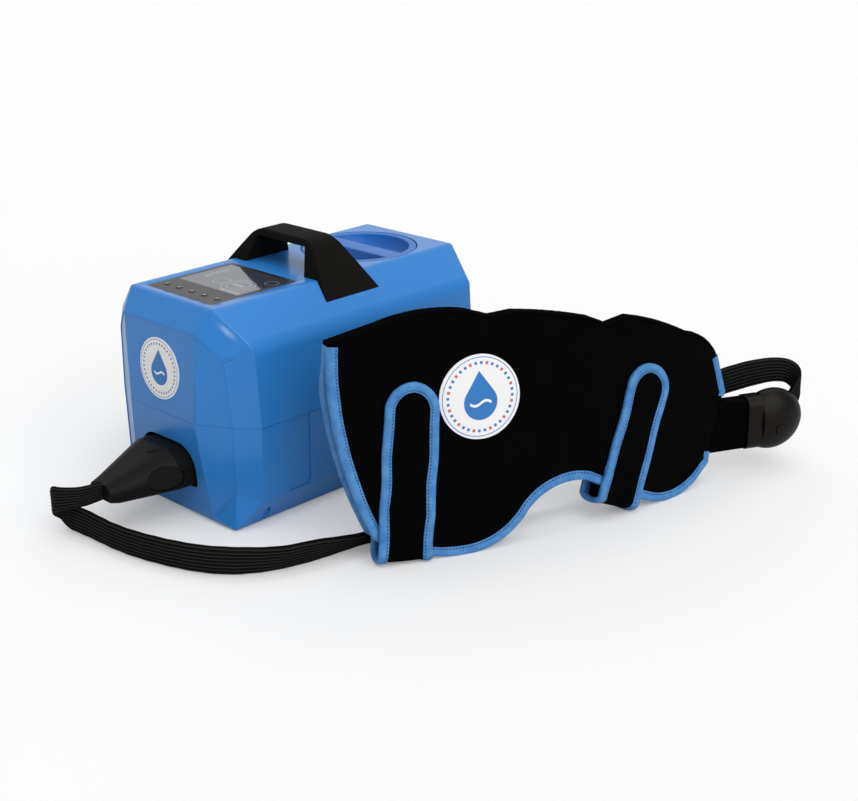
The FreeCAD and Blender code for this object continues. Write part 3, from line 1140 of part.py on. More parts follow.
# ---------------------------------------------------------------- checks and files
nodes = [
    "upper_housing", "lower_housing", "handle", "screws", "display_window", "lcd_module",
    "control_board", "key_switches", "power_button", "mode_button", "temperature_button", "time_button",
    "pressure_button", "tank_cap", "cap_seal", "fill_neck", "water_tank", "tank_insulation",
    "intake_filter", "heater_element", "temperature_probe", "pump_casing", "pump_impeller", "pump_motor",
    "air_pump", "valve_body", "valve_plunger", "power_board", "power_inlet", "connector_socket",
    "socket_ports", "suction_pipe", "delivery_pipe", "return_pipe", "air_line", "rubber_feet",
    "front_disc", "plug_lower_shell", "plug_upper_shell", "plug_ports",
    "release_button_left", "release_button_right", "hose_sleeve", "hose_tubes", "coupling_dome",
    "coupling_back_shell", "coupling_latch", "coupling_ports", "wrap_collar", "wrap_neck",
    "wrap_front_panel", "wrap_front_binding", "wrap_bladder", "wrap_rear_panel", "wrap_rear_binding",
    "wrap_patch", "long_strap", "long_strap_binding", "short_strap", "short_strap_binding",
]
doc.recompute()
for obj in doc.Objects:
    if "Invalid" in obj.State or "Error" in obj.State:
        raise RuntimeError("%s is in state %s" % (obj.Label, obj.State))
shapes = {}
for name in nodes:
    found = doc.getObjectsByLabel(name)
    if len(found) != 1:
        raise RuntimeError("%s is the label of %d objects" % (name, len(found)))
    shape = found[0].Shape
    if shape.isNull() or not shape.isValid() or not shape.Solids:
        raise RuntimeError(name + " has no valid solid")
    shapes[name] = shape

flat_part = mm("(sleeve_width - sleeve_thick) * sleeve_thick")
section = math.pi * mm("sleeve_thick / 2") ** 2 + flat_part
print("hose radii", [round(r, 1) for r in hose_radii])
print("hose length %.0f, sleeve volume %.0f, section times length %.0f"
      % (hose_path.Length, sleeve_outer.Volume, section * hose_path.Length))
for name, shape in shapes.items():
    shape.exportStep(os.path.join("parts", name + ".step"))
print(len(shapes), "nodes written")
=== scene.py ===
import math

import bmesh
import bpy
from mathutils import Matrix, Vector, noise
from mathutils.bvhtree import BVHTree


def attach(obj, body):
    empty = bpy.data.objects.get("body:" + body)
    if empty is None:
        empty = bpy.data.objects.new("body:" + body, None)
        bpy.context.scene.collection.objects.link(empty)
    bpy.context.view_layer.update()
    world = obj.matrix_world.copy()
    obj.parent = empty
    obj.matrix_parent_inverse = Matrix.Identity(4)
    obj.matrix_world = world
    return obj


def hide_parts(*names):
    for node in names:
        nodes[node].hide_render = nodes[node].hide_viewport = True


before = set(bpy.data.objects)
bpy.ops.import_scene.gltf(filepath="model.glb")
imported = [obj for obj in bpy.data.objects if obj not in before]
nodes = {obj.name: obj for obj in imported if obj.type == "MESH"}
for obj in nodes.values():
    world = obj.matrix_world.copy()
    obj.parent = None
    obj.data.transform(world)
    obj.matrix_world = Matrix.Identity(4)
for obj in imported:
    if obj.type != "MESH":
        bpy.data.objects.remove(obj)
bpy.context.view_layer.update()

mm = 0.001
print("frame loaded,", len(nodes), "nodes")


# pieces and meshes
def addPiece(name, source, finish, body, replaced=(), sharp=35):
    mesh = source
    if isinstance(source, bmesh.types.BMesh):
        mesh = bpy.data.meshes.new(name)
        source.to_mesh(mesh)
        source.free()
    mesh.shade_smooth()
    mesh.set_sharp_from_angle(angle=math.radians(sharp))
    piece = bpy.data.objects.new(name, mesh)
    bpy.context.scene.collection.objects.link(piece)
    piece.data.materials.clear()
    piece.data.materials.append(finish)
    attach(piece, body)
    if replaced:
        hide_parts(*replaced)
    return piece


def joinFlat(bm):
    # flat faces joined, except level ones, which have holes
    bmesh.ops.remove_doubles(bm, verts=bm.verts, dist=2e-6)
    bm.normal_update()
    edges = [e for e in bm.edges if e.is_manifold and any(abs(f.normal.z) < 0.999 for f in e.link_faces)]
    bmesh.ops.dissolve_limit(bm, angle_limit=math.radians(0.5), verts=[], edges=edges)
    bm.normal_update()


def mergedCopy(node):
    # one closed mesh from a node's loose triangles
    bm = bmesh.new()
    bm.from_mesh(nodes[node].data)
    joinFlat(bm)
    return bm


def evaluated(piece):
    graph = bpy.context.evaluated_depsgraph_get()
    return bpy.data.meshes.new_from_object(piece.evaluated_get(graph))


def cutAway(bm, cutter):
    # bm less the closed form in cutter
    things = []
    for label, form in (("cutBase", bm), ("cutTool", cutter)):
        mesh = bpy.data.meshes.new(label)
        form.to_mesh(mesh)
        form.free()
        thing = bpy.data.objects.new(label, mesh)
        bpy.context.scene.collection.objects.link(thing)
        things.append(thing)
    step = things[0].modifiers.new("cut", "BOOLEAN")
    step.operation, step.solver, step.object = "DIFFERENCE", "EXACT", things[1]
    result = evaluated(things[0])
    for thing in things:
        bpy.data.objects.remove(thing)
    cut = bmesh.new()
    cut.from_mesh(result)
    joinFlat(cut)
    return cut


def roundedEdges(piece, width, segments=3, areaNormals=True):
    # a live bevel by edge weight, shaded by face area
    step = piece.modifiers.new("roundEdges", "BEVEL")
    step.limit_method, step.width, step.segments = "WEIGHT", width, segments
    step.use_clamp_overlap = False
    step.harden_normals = False
    if not areaNormals:
        return
    normals = piece.modifiers.new("areaNormals", "WEIGHTED_NORMAL")
    normals.keep_sharp = True


def weighEdges(bm, weigh):
    layer = bm.edges.layers.float.new("bevel_weight_edge")
    for edge in bm.edges:
        if edge.is_manifold:
            edge[layer] = weigh(edge)


def sharpOnly(low=20, test=None):
    # weight 1 for edges that turn more than low degrees
    def weigh(edge):
        turned = math.degrees(edge.calc_face_angle(0))
        return 1.0 if turned > low and (test is None or test(edge)) else 0.0
    return weigh


# hose: route in millimetres, and per share of its length the band's turn from upright in degrees
# and its share of the full width
hose = {
    "route": [
        (0, -283, 48.25), (0, -300, 48), (-15, -316, 46), (-33, -319, 41), (-43, -312, 33),
        (-35, -302, 23), (-4, -299, 15.8), (50, -299, 15.8), (108, -287, 15.8), (166, -263, 15.8),
        (203, -222, 15.8), (220, -167, 15.8), (232, -103, 17), (266, -30, 24), (301, 55, 42),
        (330, 140, 62), (339, 219, 76), (342, 291, 86), (374, 345, 100), (399, 376, 104),
        (413, 384, 96), (421, 379, 84), (419, 364, 70),
    ],
    "turns": [
        (0.0, 0, 0.66), (0.02, 0, 0.72), (0.06, 0, 0.95), (0.10, 0, 1.0), (0.16, 4, 1.0),
        (0.28, 2, 1.0), (0.36, 22, 0.98), (0.43, 44, 0.96), (0.50, 34, 0.97), (0.60, 14, 1.0),
        (0.8, 0, 1.0), (0.9, -6, 1.0), (0.97, 0, 0.9), (1.0, 0, 0.75),
    ],
    "width": 31.0, "thick": 7.4, "lean": 0.5, "settle": 0.006, "ribs": 8, "ribDepth": 0.55, "pick": 0.0026, "step": 0.003,
}


# materials
def newFinish(name, colour, roughness, fixed=None):
    finish = bpy.data.materials.new(name)
    finish.use_nodes = True
    shader = finish.node_tree.nodes["Principled BSDF"]
    shader.inputs["Base Color"].default_value = (*colour, 1)
    shader.inputs["Roughness"].default_value = roughness
    for socket, value in (fixed or {}).items():
        shader.inputs[socket].default_value = value
    return finish, finish.node_tree, shader


def addNode(tree, kind, values=None, **settings):
    made = tree.nodes.new("ShaderNode" + kind)
    for key, value in settings.items():
        setattr(made, key, value)
    for key, value in (values or {}).items():
        if isinstance(value, bpy.types.NodeSocket):
            tree.links.new(value, made.inputs[key])
        else:
            made.inputs[key].default_value = value
    return made


def calc(tree, operation, a, b=0.0, c=0.0):
    return addNode(tree, "Math", {0: a, 1: b, 2: c}, operation=operation).outputs[0]


def speckle(tree, point, scale, detail=2.0, rough=0.5):
    settings = {"Vector": point, "Scale": scale, "Detail": detail, "Roughness": rough}
    return addNode(tree, "TexNoise", settings).outputs["Fac"]


def spread(tree, value, low, high):
    # 0..1 to low..high
    return addNode(tree, "MapRange", {"Value": value, "To Min": low, "To Max": high}).outputs["Result"]


def between(tree, value, low, high, soft):
    # 1 from low to high, with soft shoulders
    rise = addNode(tree, "MapRange", {"Value": value, "From Min": low - soft, "From Max": low + soft})
    fall = addNode(tree, "MapRange", {"Value": value, "From Min": high - soft, "From Max": high + soft})
    return calc(tree, "SUBTRACT", rise.outputs["Result"], fall.outputs["Result"])


def mixed(tree, share, a, b):
    made = addNode(tree, "Mix", data_type="RGBA")
    for key, value in ((0, share), (6, a), (7, b)):
        if isinstance(value, bpy.types.NodeSocket):
            tree.links.new(value, made.inputs[key])
        else:
            made.inputs[key].default_value = value if key == 0 else (*value, 1)
    return made.outputs[2]


def bumped(tree, shader, height, strength, distance):
    before = shader.inputs["Normal"].links
    values = {"Height": height, "Strength": strength, "Distance": distance}
    if before:
        values["Normal"] = before[0].from_socket
    made = addNode(tree, "Bump", values)
    tree.links.new(made.outputs["Normal"], shader.inputs["Normal"])


def objectPoint(tree):
    return addNode(tree, "TexCoord").outputs["Object"]


def mouldedPlastic(name, colour, roughness, grain, fixed=None, drift=0.12):
    # plastic with a slight drift of tone, handling marks and a moulded grain
    finish, tree, shader = newFinish(name, colour, roughness, fixed)
    point = objectPoint(tree)
    tone = speckle(tree, point, 9.0, 3.0)
    darker = tuple(c * (1 - drift) for c in colour)
    lighter = tuple(c * (1 + drift) for c in colour)
    tree.links.new(mixed(tree, tone, darker, lighter), shader.inputs["Base Color"])
    marks = speckle(tree, point, 60.0, 5.0, 0.65)
    tree.links.new(spread(tree, marks, roughness * 0.8, roughness * 1.25), shader.inputs["Roughness"])
    bumped(tree, shader, speckle(tree, point, grain["scale"], 2.0), grain["strength"], grain["depth"])
    return finish


grains = {
    "gloss": {"scale": 260.0, "strength": 0.12, "depth": 0.0002},
    "satin": {"scale": 1500.0, "strength": 0.25, "depth": 0.0001},
    "coarse": {"scale": 700.0, "strength": 0.4, "depth": 0.0003},
    "foam": {"scale": 420.0, "strength": 0.9, "depth": 0.001},
}
finishes = {
    "blue": mouldedPlastic("glossyBlue", (0.026, 0.205, 0.58), 0.30, grains["gloss"], {
        "Specular IOR Level": 0.3, "Coat Weight": 0.22, "Coat Roughness": 0.06, "Coat IOR": 1.4}, 0.04),
    "neckBlue": mouldedPlastic("capBlue", (0.018, 0.150, 0.50), 0.38, grains["gloss"], {
        "Specular IOR Level": 0.3}, 0.04),
    "black": mouldedPlastic("satinBlack", (0.0060, 0.0056, 0.0050), 0.42, grains["satin"], {
        "Specular IOR Level": 0.3, "IOR": 1.25}),
    "grip": mouldedPlastic("gripBlack", (0.0062, 0.0058, 0.0052), 0.62, grains["satin"], {
        "Specular IOR Level": 0.12, "IOR": 1.25}),
    "softBlack": mouldedPlastic("softBlack", (0.009, 0.0085, 0.008), 0.5, grains["satin"]),
    "domeBlack": mouldedPlastic("domeBlack", (0.0042, 0.0032, 0.0022), 0.34, grains["satin"], {
        "Specular IOR Level": 0.35, "IOR": 1.3}),
    "tank": mouldedPlastic("milkyTank", (0.72, 0.75, 0.78), 0.35, grains["coarse"], {"Subsurface Weight": 0.1}),
    "rubber": mouldedPlastic("sealRubber", (0.018, 0.018, 0.018), 0.75, grains["coarse"]),
    "foam": mouldedPlastic("insulationFoam", (0.045, 0.045, 0.05), 0.95, grains["foam"]),
    "pump": mouldedPlastic("pumpBody", (0.03, 0.03, 0.033), 0.5, grains["coarse"]),
    "silicone": mouldedPlastic("clearSilicone", (0.55, 0.60, 0.66), 0.2, grains["gloss"], {"Transmission Weight": 0.5}),
    "film": mouldedPlastic("bladderFilm", (0.06, 0.075, 0.11), 0.3, grains["coarse"]),
    "screen": mouldedPlastic("screenUnit", (0.02, 0.024, 0.032), 0.3, grains["satin"]),
    "panel": mouldedPlastic("panelBlack", (0.016, 0.016, 0.017), 0.30, grains["satin"], {"Specular IOR Level": 0.3}),
}


def brushedSteel(name, colour, roughness):
    finish, tree, shader = newFinish(name, colour, roughness, {"Metallic": 1.0})
    stretched = addNode(tree, "Mapping", {"Vector": objectPoint(tree), "Scale": (40.0, 900.0, 900.0)})
    lines = speckle(tree, stretched.outputs["Vector"], 1.0, 4.0)
    tree.links.new(spread(tree, lines, roughness * 0.7, roughness * 1.4), shader.inputs["Roughness"])
    bumped(tree, shader, lines, 0.1, 0.0001)
    return finish


def circuitBoard():
    finish, tree, shader = newFinish("circuitBoard", (0.01, 0.10, 0.04), 0.4)
    point = objectPoint(tree)
    lanes = addNode(tree, "TexVoronoi", {"Vector": point, "Scale": 190.0}, distance="MANHATTAN")
    track = between(tree, lanes.outputs["Distance"], 0.34, 0.42, 0.02)
    tree.links.new(mixed(tree, track, (0.01, 0.10, 0.04), (0.06, 0.26, 0.12)), shader.inputs["Base Color"])
    bumped(tree, shader, track, 0.3, 0.0002)
    return finish


finishes["steel"] = brushedSteel("brightSteel", (0.62, 0.63, 0.64), 0.3)
finishes["motor"] = brushedSteel("motorCan", (0.5, 0.51, 0.53), 0.38)
finishes["board"] = circuitBoard()


def knitFabric(name, colour):
    # near black brushed knit: fine cross rows and short fuzz
    finish, tree, shader = newFinish(name, colour, 0.95, {
        "Sheen Weight": 0.005, "Sheen Roughness": 0.6, "Specular IOR Level": 0.03, "IOR": 1.2})
    point = objectPoint(tree)
    place = addNode(tree, "SeparateXYZ", {0: point})
    wobble = calc(tree, "MULTIPLY", speckle(tree, point, 120.0, 3.0), 6.0)
    rows = calc(tree, "SINE", calc(tree, "MULTIPLY_ADD", place.outputs["Z"], 5200.0, wobble))
    fuzz = speckle(tree, point, 1400.0, 4.0, 0.7)
    cloud = speckle(tree, point, 22.0, 4.0)
    share = calc(tree, "MULTIPLY_ADD", rows, 0.12, calc(tree, "MULTIPLY", fuzz, cloud))
    lighter = tuple(c * 3.4 for c in colour)
    tree.links.new(mixed(tree, share, colour, lighter), shader.inputs["Base Color"])
    bumped(tree, shader, calc(tree, "MULTIPLY_ADD", rows, 0.4, fuzz), 0.5, 0.0004)
    return finish


def sleeveWeave():
    # woven tube: the map runs round the section in u and along the hose, in metres, in v
    finish, tree, shader = newFinish("sleeveWeave", (0.003, 0.0029, 0.0027), 0.6, {
        "Specular IOR Level": 0.07, "IOR": 1.2})
    across = addNode(tree, "SeparateXYZ", {0: addNode(tree, "UVMap", uv_map="weave").outputs["UV"]})
    ribs = calc(tree, "MULTIPLY", across.outputs["X"], 2 * hose["ribs"] * math.tau)
    rib = calc(tree, "MULTIPLY_ADD", calc(tree, "COSINE", ribs), 0.5, 0.5)
    lane = calc(tree, "FLOOR", calc(tree, "MULTIPLY_ADD", across.outputs["X"], 2.0 * hose["ribs"], 0.5))
    step = calc(tree, "MULTIPLY", calc(tree, "MODULO", lane, 2.0), math.pi)
    picks = calc(tree, "MULTIPLY_ADD", across.outputs["Y"], math.tau / hose["pick"], step)
    pick = calc(tree, "MULTIPLY_ADD", calc(tree, "SINE", picks), 0.5, 0.5)
    valley = calc(tree, "POWER", calc(tree, "SUBTRACT", 1.0, rib), 3.0)
    dots = calc(tree, "MULTIPLY", valley, calc(tree, "POWER", pick, 2.0))
    threads = speckle(tree, objectPoint(tree), 900.0, 3.0)
    share = calc(tree, "MULTIPLY_ADD", threads, 0.05, dots)
    tree.links.new(mixed(tree, share, (0.0018, 0.0017, 0.0016), (0.075, 0.072, 0.066)), shader.inputs["Base Color"])
    bumped(tree, shader, calc(tree, "MULTIPLY_ADD", rib, 0.8, calc(tree, "MULTIPLY", pick, 0.5)), 0.7, 0.0006)
    return finish


def bindingTape():
    # blue tape: u is the distance in metres from the outer edge, v the length along it
    finish, tree, shader = newFinish("bindingTape", (0.035, 0.20, 0.50), 0.5, {
        "Sheen Weight": 0.05, "Sheen Roughness": 0.4, "Specular IOR Level": 0.3})
    place = addNode(tree, "SeparateXYZ", {0: addNode(tree, "UVMap", uv_map="tape").outputs["UV"]})
    inward, along = place.outputs["X"], place.outputs["Y"]
    row = between(tree, inward, 0.0070, 0.0082, 0.0002)
    lengthwise = calc(tree, "PINGPONG", along, 0.0018)
    hole = calc(tree, "MULTIPLY", row, between(tree, lengthwise, -0.001, 0.0009, 0.0002))
    diagonal = calc(tree, "SINE", calc(tree, "MULTIPLY", calc(tree, "ADD", inward, along), 7000.0))
    point = objectPoint(tree)
    crumple = speckle(tree, point, 85.0, 3.0, 0.55)
    tone = mixed(tree, spread(tree, crumple, -0.6, 1.6), (0.030, 0.165, 0.45), (0.085, 0.275, 0.58))
    stitched = mixed(tree, calc(tree, "MULTIPLY", hole, 0.95), tone, (0.004, 0.03, 0.10))
    tree.links.new(stitched, shader.inputs["Base Color"])
    bumped(tree, shader, crumple, 0.8, 0.003)
    bumped(tree, shader, calc(tree, "MULTIPLY_ADD", diagonal, 0.3, speckle(tree, point, 900.0)), 0.25, 0.0002)
    bumped(tree, shader, calc(tree, "MULTIPLY_ADD", row, -0.6, calc(tree, "MULTIPLY", hole, -0.4)), 0.8, 0.0006)
    return finish


finishes["knit"] = knitFabric("blackKnit", (0.0011, 0.0011, 0.0012))
finishes["weave"] = sleeveWeave()
finishes["tape"] = bindingTape()


# printed disc, in shares of its radius: a dial of ticks round one large drop with a wave in it
disc = {
    "rim": (0.925, 0.945), "ticks": 36, "tickBand": (0.77, 0.84), "warmEvery": 3,
    "drop": {"foot": 0.42, "low": -0.13, "tip": 0.62}, "wave": {"height": -0.15, "swing": 0.05, "half": 0.033, "reach": 0.27},
}


def dropShape(tree, x, y):
    # a round foot, and a point whose sides touch it
    drop = disc["drop"]
    rise = drop["tip"] - drop["low"]
    slope = drop["foot"] / math.sqrt(rise ** 2 - drop["foot"] ** 2)
    lifted = calc(tree, "SUBTRACT", y, drop["low"])
    squares = calc(tree, "ADD", calc(tree, "MULTIPLY", x, x), calc(tree, "MULTIPLY", lifted, lifted))
    foot = between(tree, calc(tree, "SQRT", squares), -1.0, drop["foot"], 0.008)
    side = calc(tree, "SUBTRACT", calc(tree, "ABSOLUTE", x), calc(tree, "MULTIPLY_ADD", y, -slope, slope * drop["tip"]))
    touch = drop["low"] + drop["foot"] ** 2 / rise
    point = calc(tree, "MULTIPLY", between(tree, side, -5.0, 0.0, 0.006), between(tree, y, touch, drop["tip"], 0.006))
    return calc(tree, "MAXIMUM", foot, point)


def printedDisc(name, centre, right, up, radius):
    finish, tree, shader = newFinish(name, (0.8, 0.8, 0.8), 0.4, {"Specular IOR Level": 0.3})
    point = objectPoint(tree)
    moved = addNode(tree, "VectorMath", {0: point, 1: tuple(centre)}, operation="SUBTRACT").outputs["Vector"]
    dots = [addNode(tree, "VectorMath", {0: moved, 1: tuple(way)}, operation="DOT_PRODUCT").outputs["Value"]
            for way in (right, up)]
    x, y = [calc(tree, "DIVIDE", value, radius) for value in dots]
    far = calc(tree, "SQRT", calc(tree, "ADD", calc(tree, "MULTIPLY", x, x), calc(tree, "MULTIPLY", y, y)))
    angle = calc(tree, "ARCTAN2", x, y)
    white, blue, red = (0.84, 0.84, 0.84), (0.028, 0.18, 0.50), (0.62, 0.12, 0.09)
    rim = between(tree, far, *disc["rim"], 0.004)
    beat = calc(tree, "ABSOLUTE", calc(tree, "SINE", calc(tree, "MULTIPLY", angle, disc["ticks"] / 2)))
    ticks = calc(tree, "MULTIPLY", between(tree, far, *disc["tickBand"], 0.006), between(tree, beat, 0.75, 2.0, 0.05))
    slow = calc(tree, "ABSOLUTE", calc(tree, "SINE", calc(tree, "MULTIPLY", angle, disc["ticks"] / 2 / disc["warmEvery"])))
    warm = calc(tree, "MULTIPLY", ticks, between(tree, slow, 0.92, 2.0, 0.01))
    wave = disc["wave"]
    line = calc(tree, "MULTIPLY_ADD", calc(tree, "SINE", calc(tree, "MULTIPLY", x, 12.0)), wave["swing"], wave["height"])
    stroke = calc(tree, "MULTIPLY", between(tree, calc(tree, "SUBTRACT", y, line), -wave["half"], wave["half"], 0.006),
                  between(tree, x, -wave["reach"], wave["reach"], 0.006))
    inked = calc(tree, "MAXIMUM", calc(tree, "MAXIMUM", rim, ticks), dropShape(tree, x, y))
    tone = mixed(tree, warm, mixed(tree, inked, white, blue), red)
    tree.links.new(mixed(tree, stroke, tone, white), shader.inputs["Base Color"])
    bumped(tree, shader, speckle(tree, point, 800.0), 0.08, 0.0001)
    return finish


# camera and light
view = {"lens": 63.57, "azimuth": 44.80, "elevation": 20.74, "roll": -1.04, "place": (1.261, -1.065, 0.689)}


def aimCamera():
    azimuth, elevation, roll = (math.radians(view[k]) for k in ("azimuth", "elevation", "roll"))
    forward = Vector((-math.sin(azimuth) * math.cos(elevation), math.cos(azimuth) * math.cos(elevation),
                      -math.sin(elevation)))
    level = Vector((math.cos(azimuth), math.sin(azimuth), 0))
    upward = level.cross(forward)
    right = level * math.cos(roll) + upward * math.sin(roll)
    upward = upward * math.cos(roll) - level * math.sin(roll)
    camera = bpy.data.objects.new("camera", bpy.data.cameras.new("camera"))
    camera.data.lens, camera.data.sensor_width = view["lens"], 36
    camera.data.clip_start, camera.data.clip_end = 0.05, 30
    turn = Matrix((right, upward, -forward)).transposed().to_4x4()
    camera.matrix_world = Matrix.Translation(view["place"]) @ turn
    bpy.context.scene.collection.objects.link(camera)
    bpy.context.scene.camera = camera


studio = {
    "nearLight": 0.23, "backLight": 0.85, "backdrop": (-0.70, 0.71, 0.0), "floorSize": 14.0,
    "floorTone": 0.74, "floorGlow": 0.185,
    # suns: where the light comes from, its spread in degrees and its strength
    "suns": [
        {"name": "overhead", "from": (0.1, 0.0, 1.0), "spread": 70, "strength": 1.05},
        {"name": "rightLight", "from": (0.95, -0.22, 0.62), "spread": 60, "strength": 1.75},
        {"name": "leftLight", "from": (-0.35, -0.9, 0.5), "spread": 60, "strength": 0.12},
    ],
    "sparks": [{"name": "sparkLow", "place": (0.60, -1.52, 0.63)}, {"name": "sparkHigh", "place": (0.57, -1.53, 0.72)}],
    "sparkAim": (0.084, -0.178, 0.207), "sparkSize": 0.035, "sparkPower": 0.12,
}


def seenDirectly(tree):
    return addNode(tree, "LightPath").outputs["Is Camera Ray"]


def lightScene():
    world = bpy.data.worlds.new("studioWorld")
    bpy.context.scene.world = world
    world.use_nodes = True
    tree = world.node_tree
    back = tree.nodes["Background"]
    back.inputs["Color"].default_value = (1, 1, 1, 1)
    way = addNode(tree, "TexCoord").outputs["Generated"]
    behind = addNode(tree, "VectorMath", {0: way, 1: studio["backdrop"]}, operation="DOT_PRODUCT").outputs["Value"]
    room = addNode(tree, "MapRange", {
        "Value": behind, "From Min": -0.2, "From Max": 0.75, "To Min": studio["nearLight"],
        "To Max": studio["backLight"]}, interpolation_type="SMOOTHSTEP").outputs["Result"]
    tree.links.new(calc(tree, "MAXIMUM", seenDirectly(tree), room), back.inputs["Strength"])
    for sun in studio["suns"]:
        data = bpy.data.lights.new(sun["name"], "SUN")
        data.angle, data.energy = math.radians(sun["spread"]), sun["strength"]
        thing = bpy.data.objects.new(sun["name"], data)
        thing.matrix_world = Vector(sun["from"]).to_track_quat("Z", "Y").to_matrix().to_4x4()
        bpy.context.scene.collection.objects.link(thing)
    for spark in studio["sparks"]:
        data = bpy.data.lights.new(spark["name"], "AREA")
        data.shape, data.size, data.energy = "DISK", studio["sparkSize"], studio["sparkPower"]
        thing = bpy.data.objects.new(spark["name"], data)
        way = Vector(studio["sparkAim"]) - Vector(spark["place"])
        thing.matrix_world = Matrix.Translation(spark["place"]) @ way.to_track_quat("-Z", "Y").to_matrix().to_4x4()
        bpy.context.scene.collection.objects.link(thing)
    bm = bmesh.new()
    bmesh.ops.create_grid(bm, x_segments=2, y_segments=2, size=studio["floorSize"])
    mesh = bpy.data.meshes.new("floor")
    bm.to_mesh(mesh)
    bm.free()
    floor = bpy.data.objects.new("floor", mesh)
    bpy.context.scene.collection.objects.link(floor)
    tone = studio["floorTone"]
    finish, tree, shader = newFinish("paleFloor", (tone, tone, tone), 0.9, {"Specular IOR Level": 0.0})
    shader.inputs["Emission Color"].default_value = (1, 1, 1, 1)
    tree.links.new(calc(tree, "MULTIPLY", seenDirectly(tree), studio["floorGlow"]), shader.inputs["Emission Strength"])
    mesh.materials.append(finish)
    bpy.context.scene.view_settings.view_transform = "Standard"


aimCamera()
lightScene()
print("camera and light set")

# hose: a flat woven sleeve on its route
def smoothLine(points):
    # the route as one NURBS spline, read back as a fine line
    curve = bpy.data.curves.new("hoseLine", "CURVE")
    curve.dimensions, curve.resolution_u = "3D", 16
    spline = curve.splines.new("NURBS")
    spline.points.add(len(points) - 1)
    for spot, place in zip(spline.points, points):
        spot.co = (*(c * mm for c in place), 1)
    spline.order_u, spline.use_endpoint_u = 3, True
    thing = bpy.data.objects.new("hoseLine", curve)
    mesh = bpy.data.meshes.new_from_object(thing)
    line = [v.co.copy() for v in mesh.vertices]
    bpy.data.objects.remove(thing)
    return line


def evenSteps(line, step):
    lengths = [0.0]
    for a, b in zip(line, line[1:]):
        lengths.append(lengths[-1] + (b - a).length)
    count = round(lengths[-1] / step)
    spots, k = [], 0
    for i in range(count + 1):
        want = lengths[-1] * i / count
        while k < len(line) - 2 and lengths[k + 1] < want:
            k += 1
        share = (want - lengths[k]) / max(lengths[k + 1] - lengths[k], 1e-12)
        spots.append(line[k].lerp(line[k + 1], share))
    return spots, lengths[-1]


def keyed(keys, t):
    # smooth value between keys of (place, a, b)
    for before, after in zip(keys, keys[1:]):
        if t <= after[0]:
            s = (t - before[0]) / (after[0] - before[0])
            s = s * s * (3 - 2 * s)
            return [a + (b - a) * s for a, b in zip(before[1:], after[1:])]
    return list(keys[-1][1:])


def sweepBand(name, rings, closedRing, uvName, uvRows, finish, body, replaced=(), sharp=60, caps=True, loop=False):
    # a band drawn out ring by ring: the first ring's edges are extruded and set down at each next ring
    bm = bmesh.new()
    first = [bm.verts.new(p) for p in rings[0]]
    pairs = list(zip(first, first[1:])) + ([(first[-1], first[0])] if closedRing else [])
    edges = [bm.edges.new(pair) for pair in pairs]
    rows = [first]
    for ring in rings[1:]:
        made = bmesh.ops.extrude_edge_only(bm, edges=edges)["geom"]
        edges = [e for e in made if isinstance(e, bmesh.types.BMEdge)]
        old = rows[-1]
        fresh = {}
        for v in (v for v in made if isinstance(v, bmesh.types.BMVert)):
            for e in v.link_edges:
                other = e.other_vert(v)
                if other in old:
                    fresh[other] = v
        row = [fresh[v] for v in old]
        for v, p in zip(row, ring):
            v.co = p
        rows.append(row)
        ends = set(row)
        edges = [e for e in edges if e.verts[0] in ends and e.verts[1] in ends]
    layer = bm.loops.layers.uv.new(uvName)
    count = len(first)
    where = {v: (j, i) for i, row in enumerate(rows) for j, v in enumerate(row)}
    for face in bm.faces:
        js = [where[l.vert][0] for l in face.loops]
        wraps = closedRing and max(js) - min(js) > 1
        for l in face.loops:
            j, i = where[l.vert]
            l[layer].uv = uvRows(count if wraps and j == 0 else j, i)
    if closedRing and caps and not loop:
        for row in (rows[0], rows[-1]):
            bm.faces.new(row)
    if loop:
        bmesh.ops.remove_doubles(bm, verts=bm.verts, dist=1e-5)
    bmesh.ops.recalc_face_normals(bm, faces=bm.faces)
    return addPiece(name, bm, finish, body, replaced, sharp)


def sleeveRing(centre, wide, thin, halfWidth, halfThick):
    # section of the sleeve: two flat faces of even ribs that meet in round edges
    perFace = 8 * hose["ribs"]
    points = []
    for k in range(2 * perFace):
        share = (k % perFace) / perFace
        side = 1 if k < perFace else -1
        across = side * (1 - 2 * share)
        lift = math.sqrt(max(1 - abs(across) ** 5, 0.0)) * halfThick
        dent = hose["ribDepth"] * mm * abs(math.cos(math.pi * hose["ribs"] * share)) ** 6 * (1 - abs(across) ** 8)
        points.append(centre + wide * across * halfWidth + thin * side * (lift - dent))
    return points


def makeHose():
    line = smoothLine(hose["route"])
    spots, length = evenSteps(line, hose["step"])
    rings, last = [], len(spots) - 1
    for i, spot in enumerate(spots):
        t = i / last
        turn, share = keyed(hose["turns"], t)
        way = (spots[min(i + 1, last)] - spots[max(i - 1, 0)]).normalized()
        wide = Vector((0, 0, 1)) - way * way.z * hose["lean"]
        wide.normalize()
        thin = way.cross(wide).normalized()
        a = math.radians(turn)
        wide, thin = wide * math.cos(a) + thin * math.sin(a), thin * math.cos(a) - wide * math.sin(a)
        ripple = 0.25 * mm * math.sin(t * 260) + 0.5 * mm * noise.noise(spot * 25)
        ring = sleeveRing(spot + thin * ripple, wide, thin, share * hose["width"] * mm / 2,
                          hose["thick"] * mm / 2 * (1.3 - 0.3 * share))
        rise = min(p.z for p in ring) - 0.3 * mm
        down = rise * max(0.0, min(1.0, 2 - rise / hose["settle"]))
        rings.append([p - Vector((0, 0, down)) for p in ring])
    count = len(rings[0])
    piece = sweepBand("sleeve", rings, True, "weave", lambda j, i: (j / count, length * i / last),
                      finishes["weave"], "hose", ("hose_sleeve", "hose_tubes"))
    print("hose", round(length, 4), "m, lowest", round(min(v.co.z for v in piece.data.vertices), 4))
    return piece, spots, length


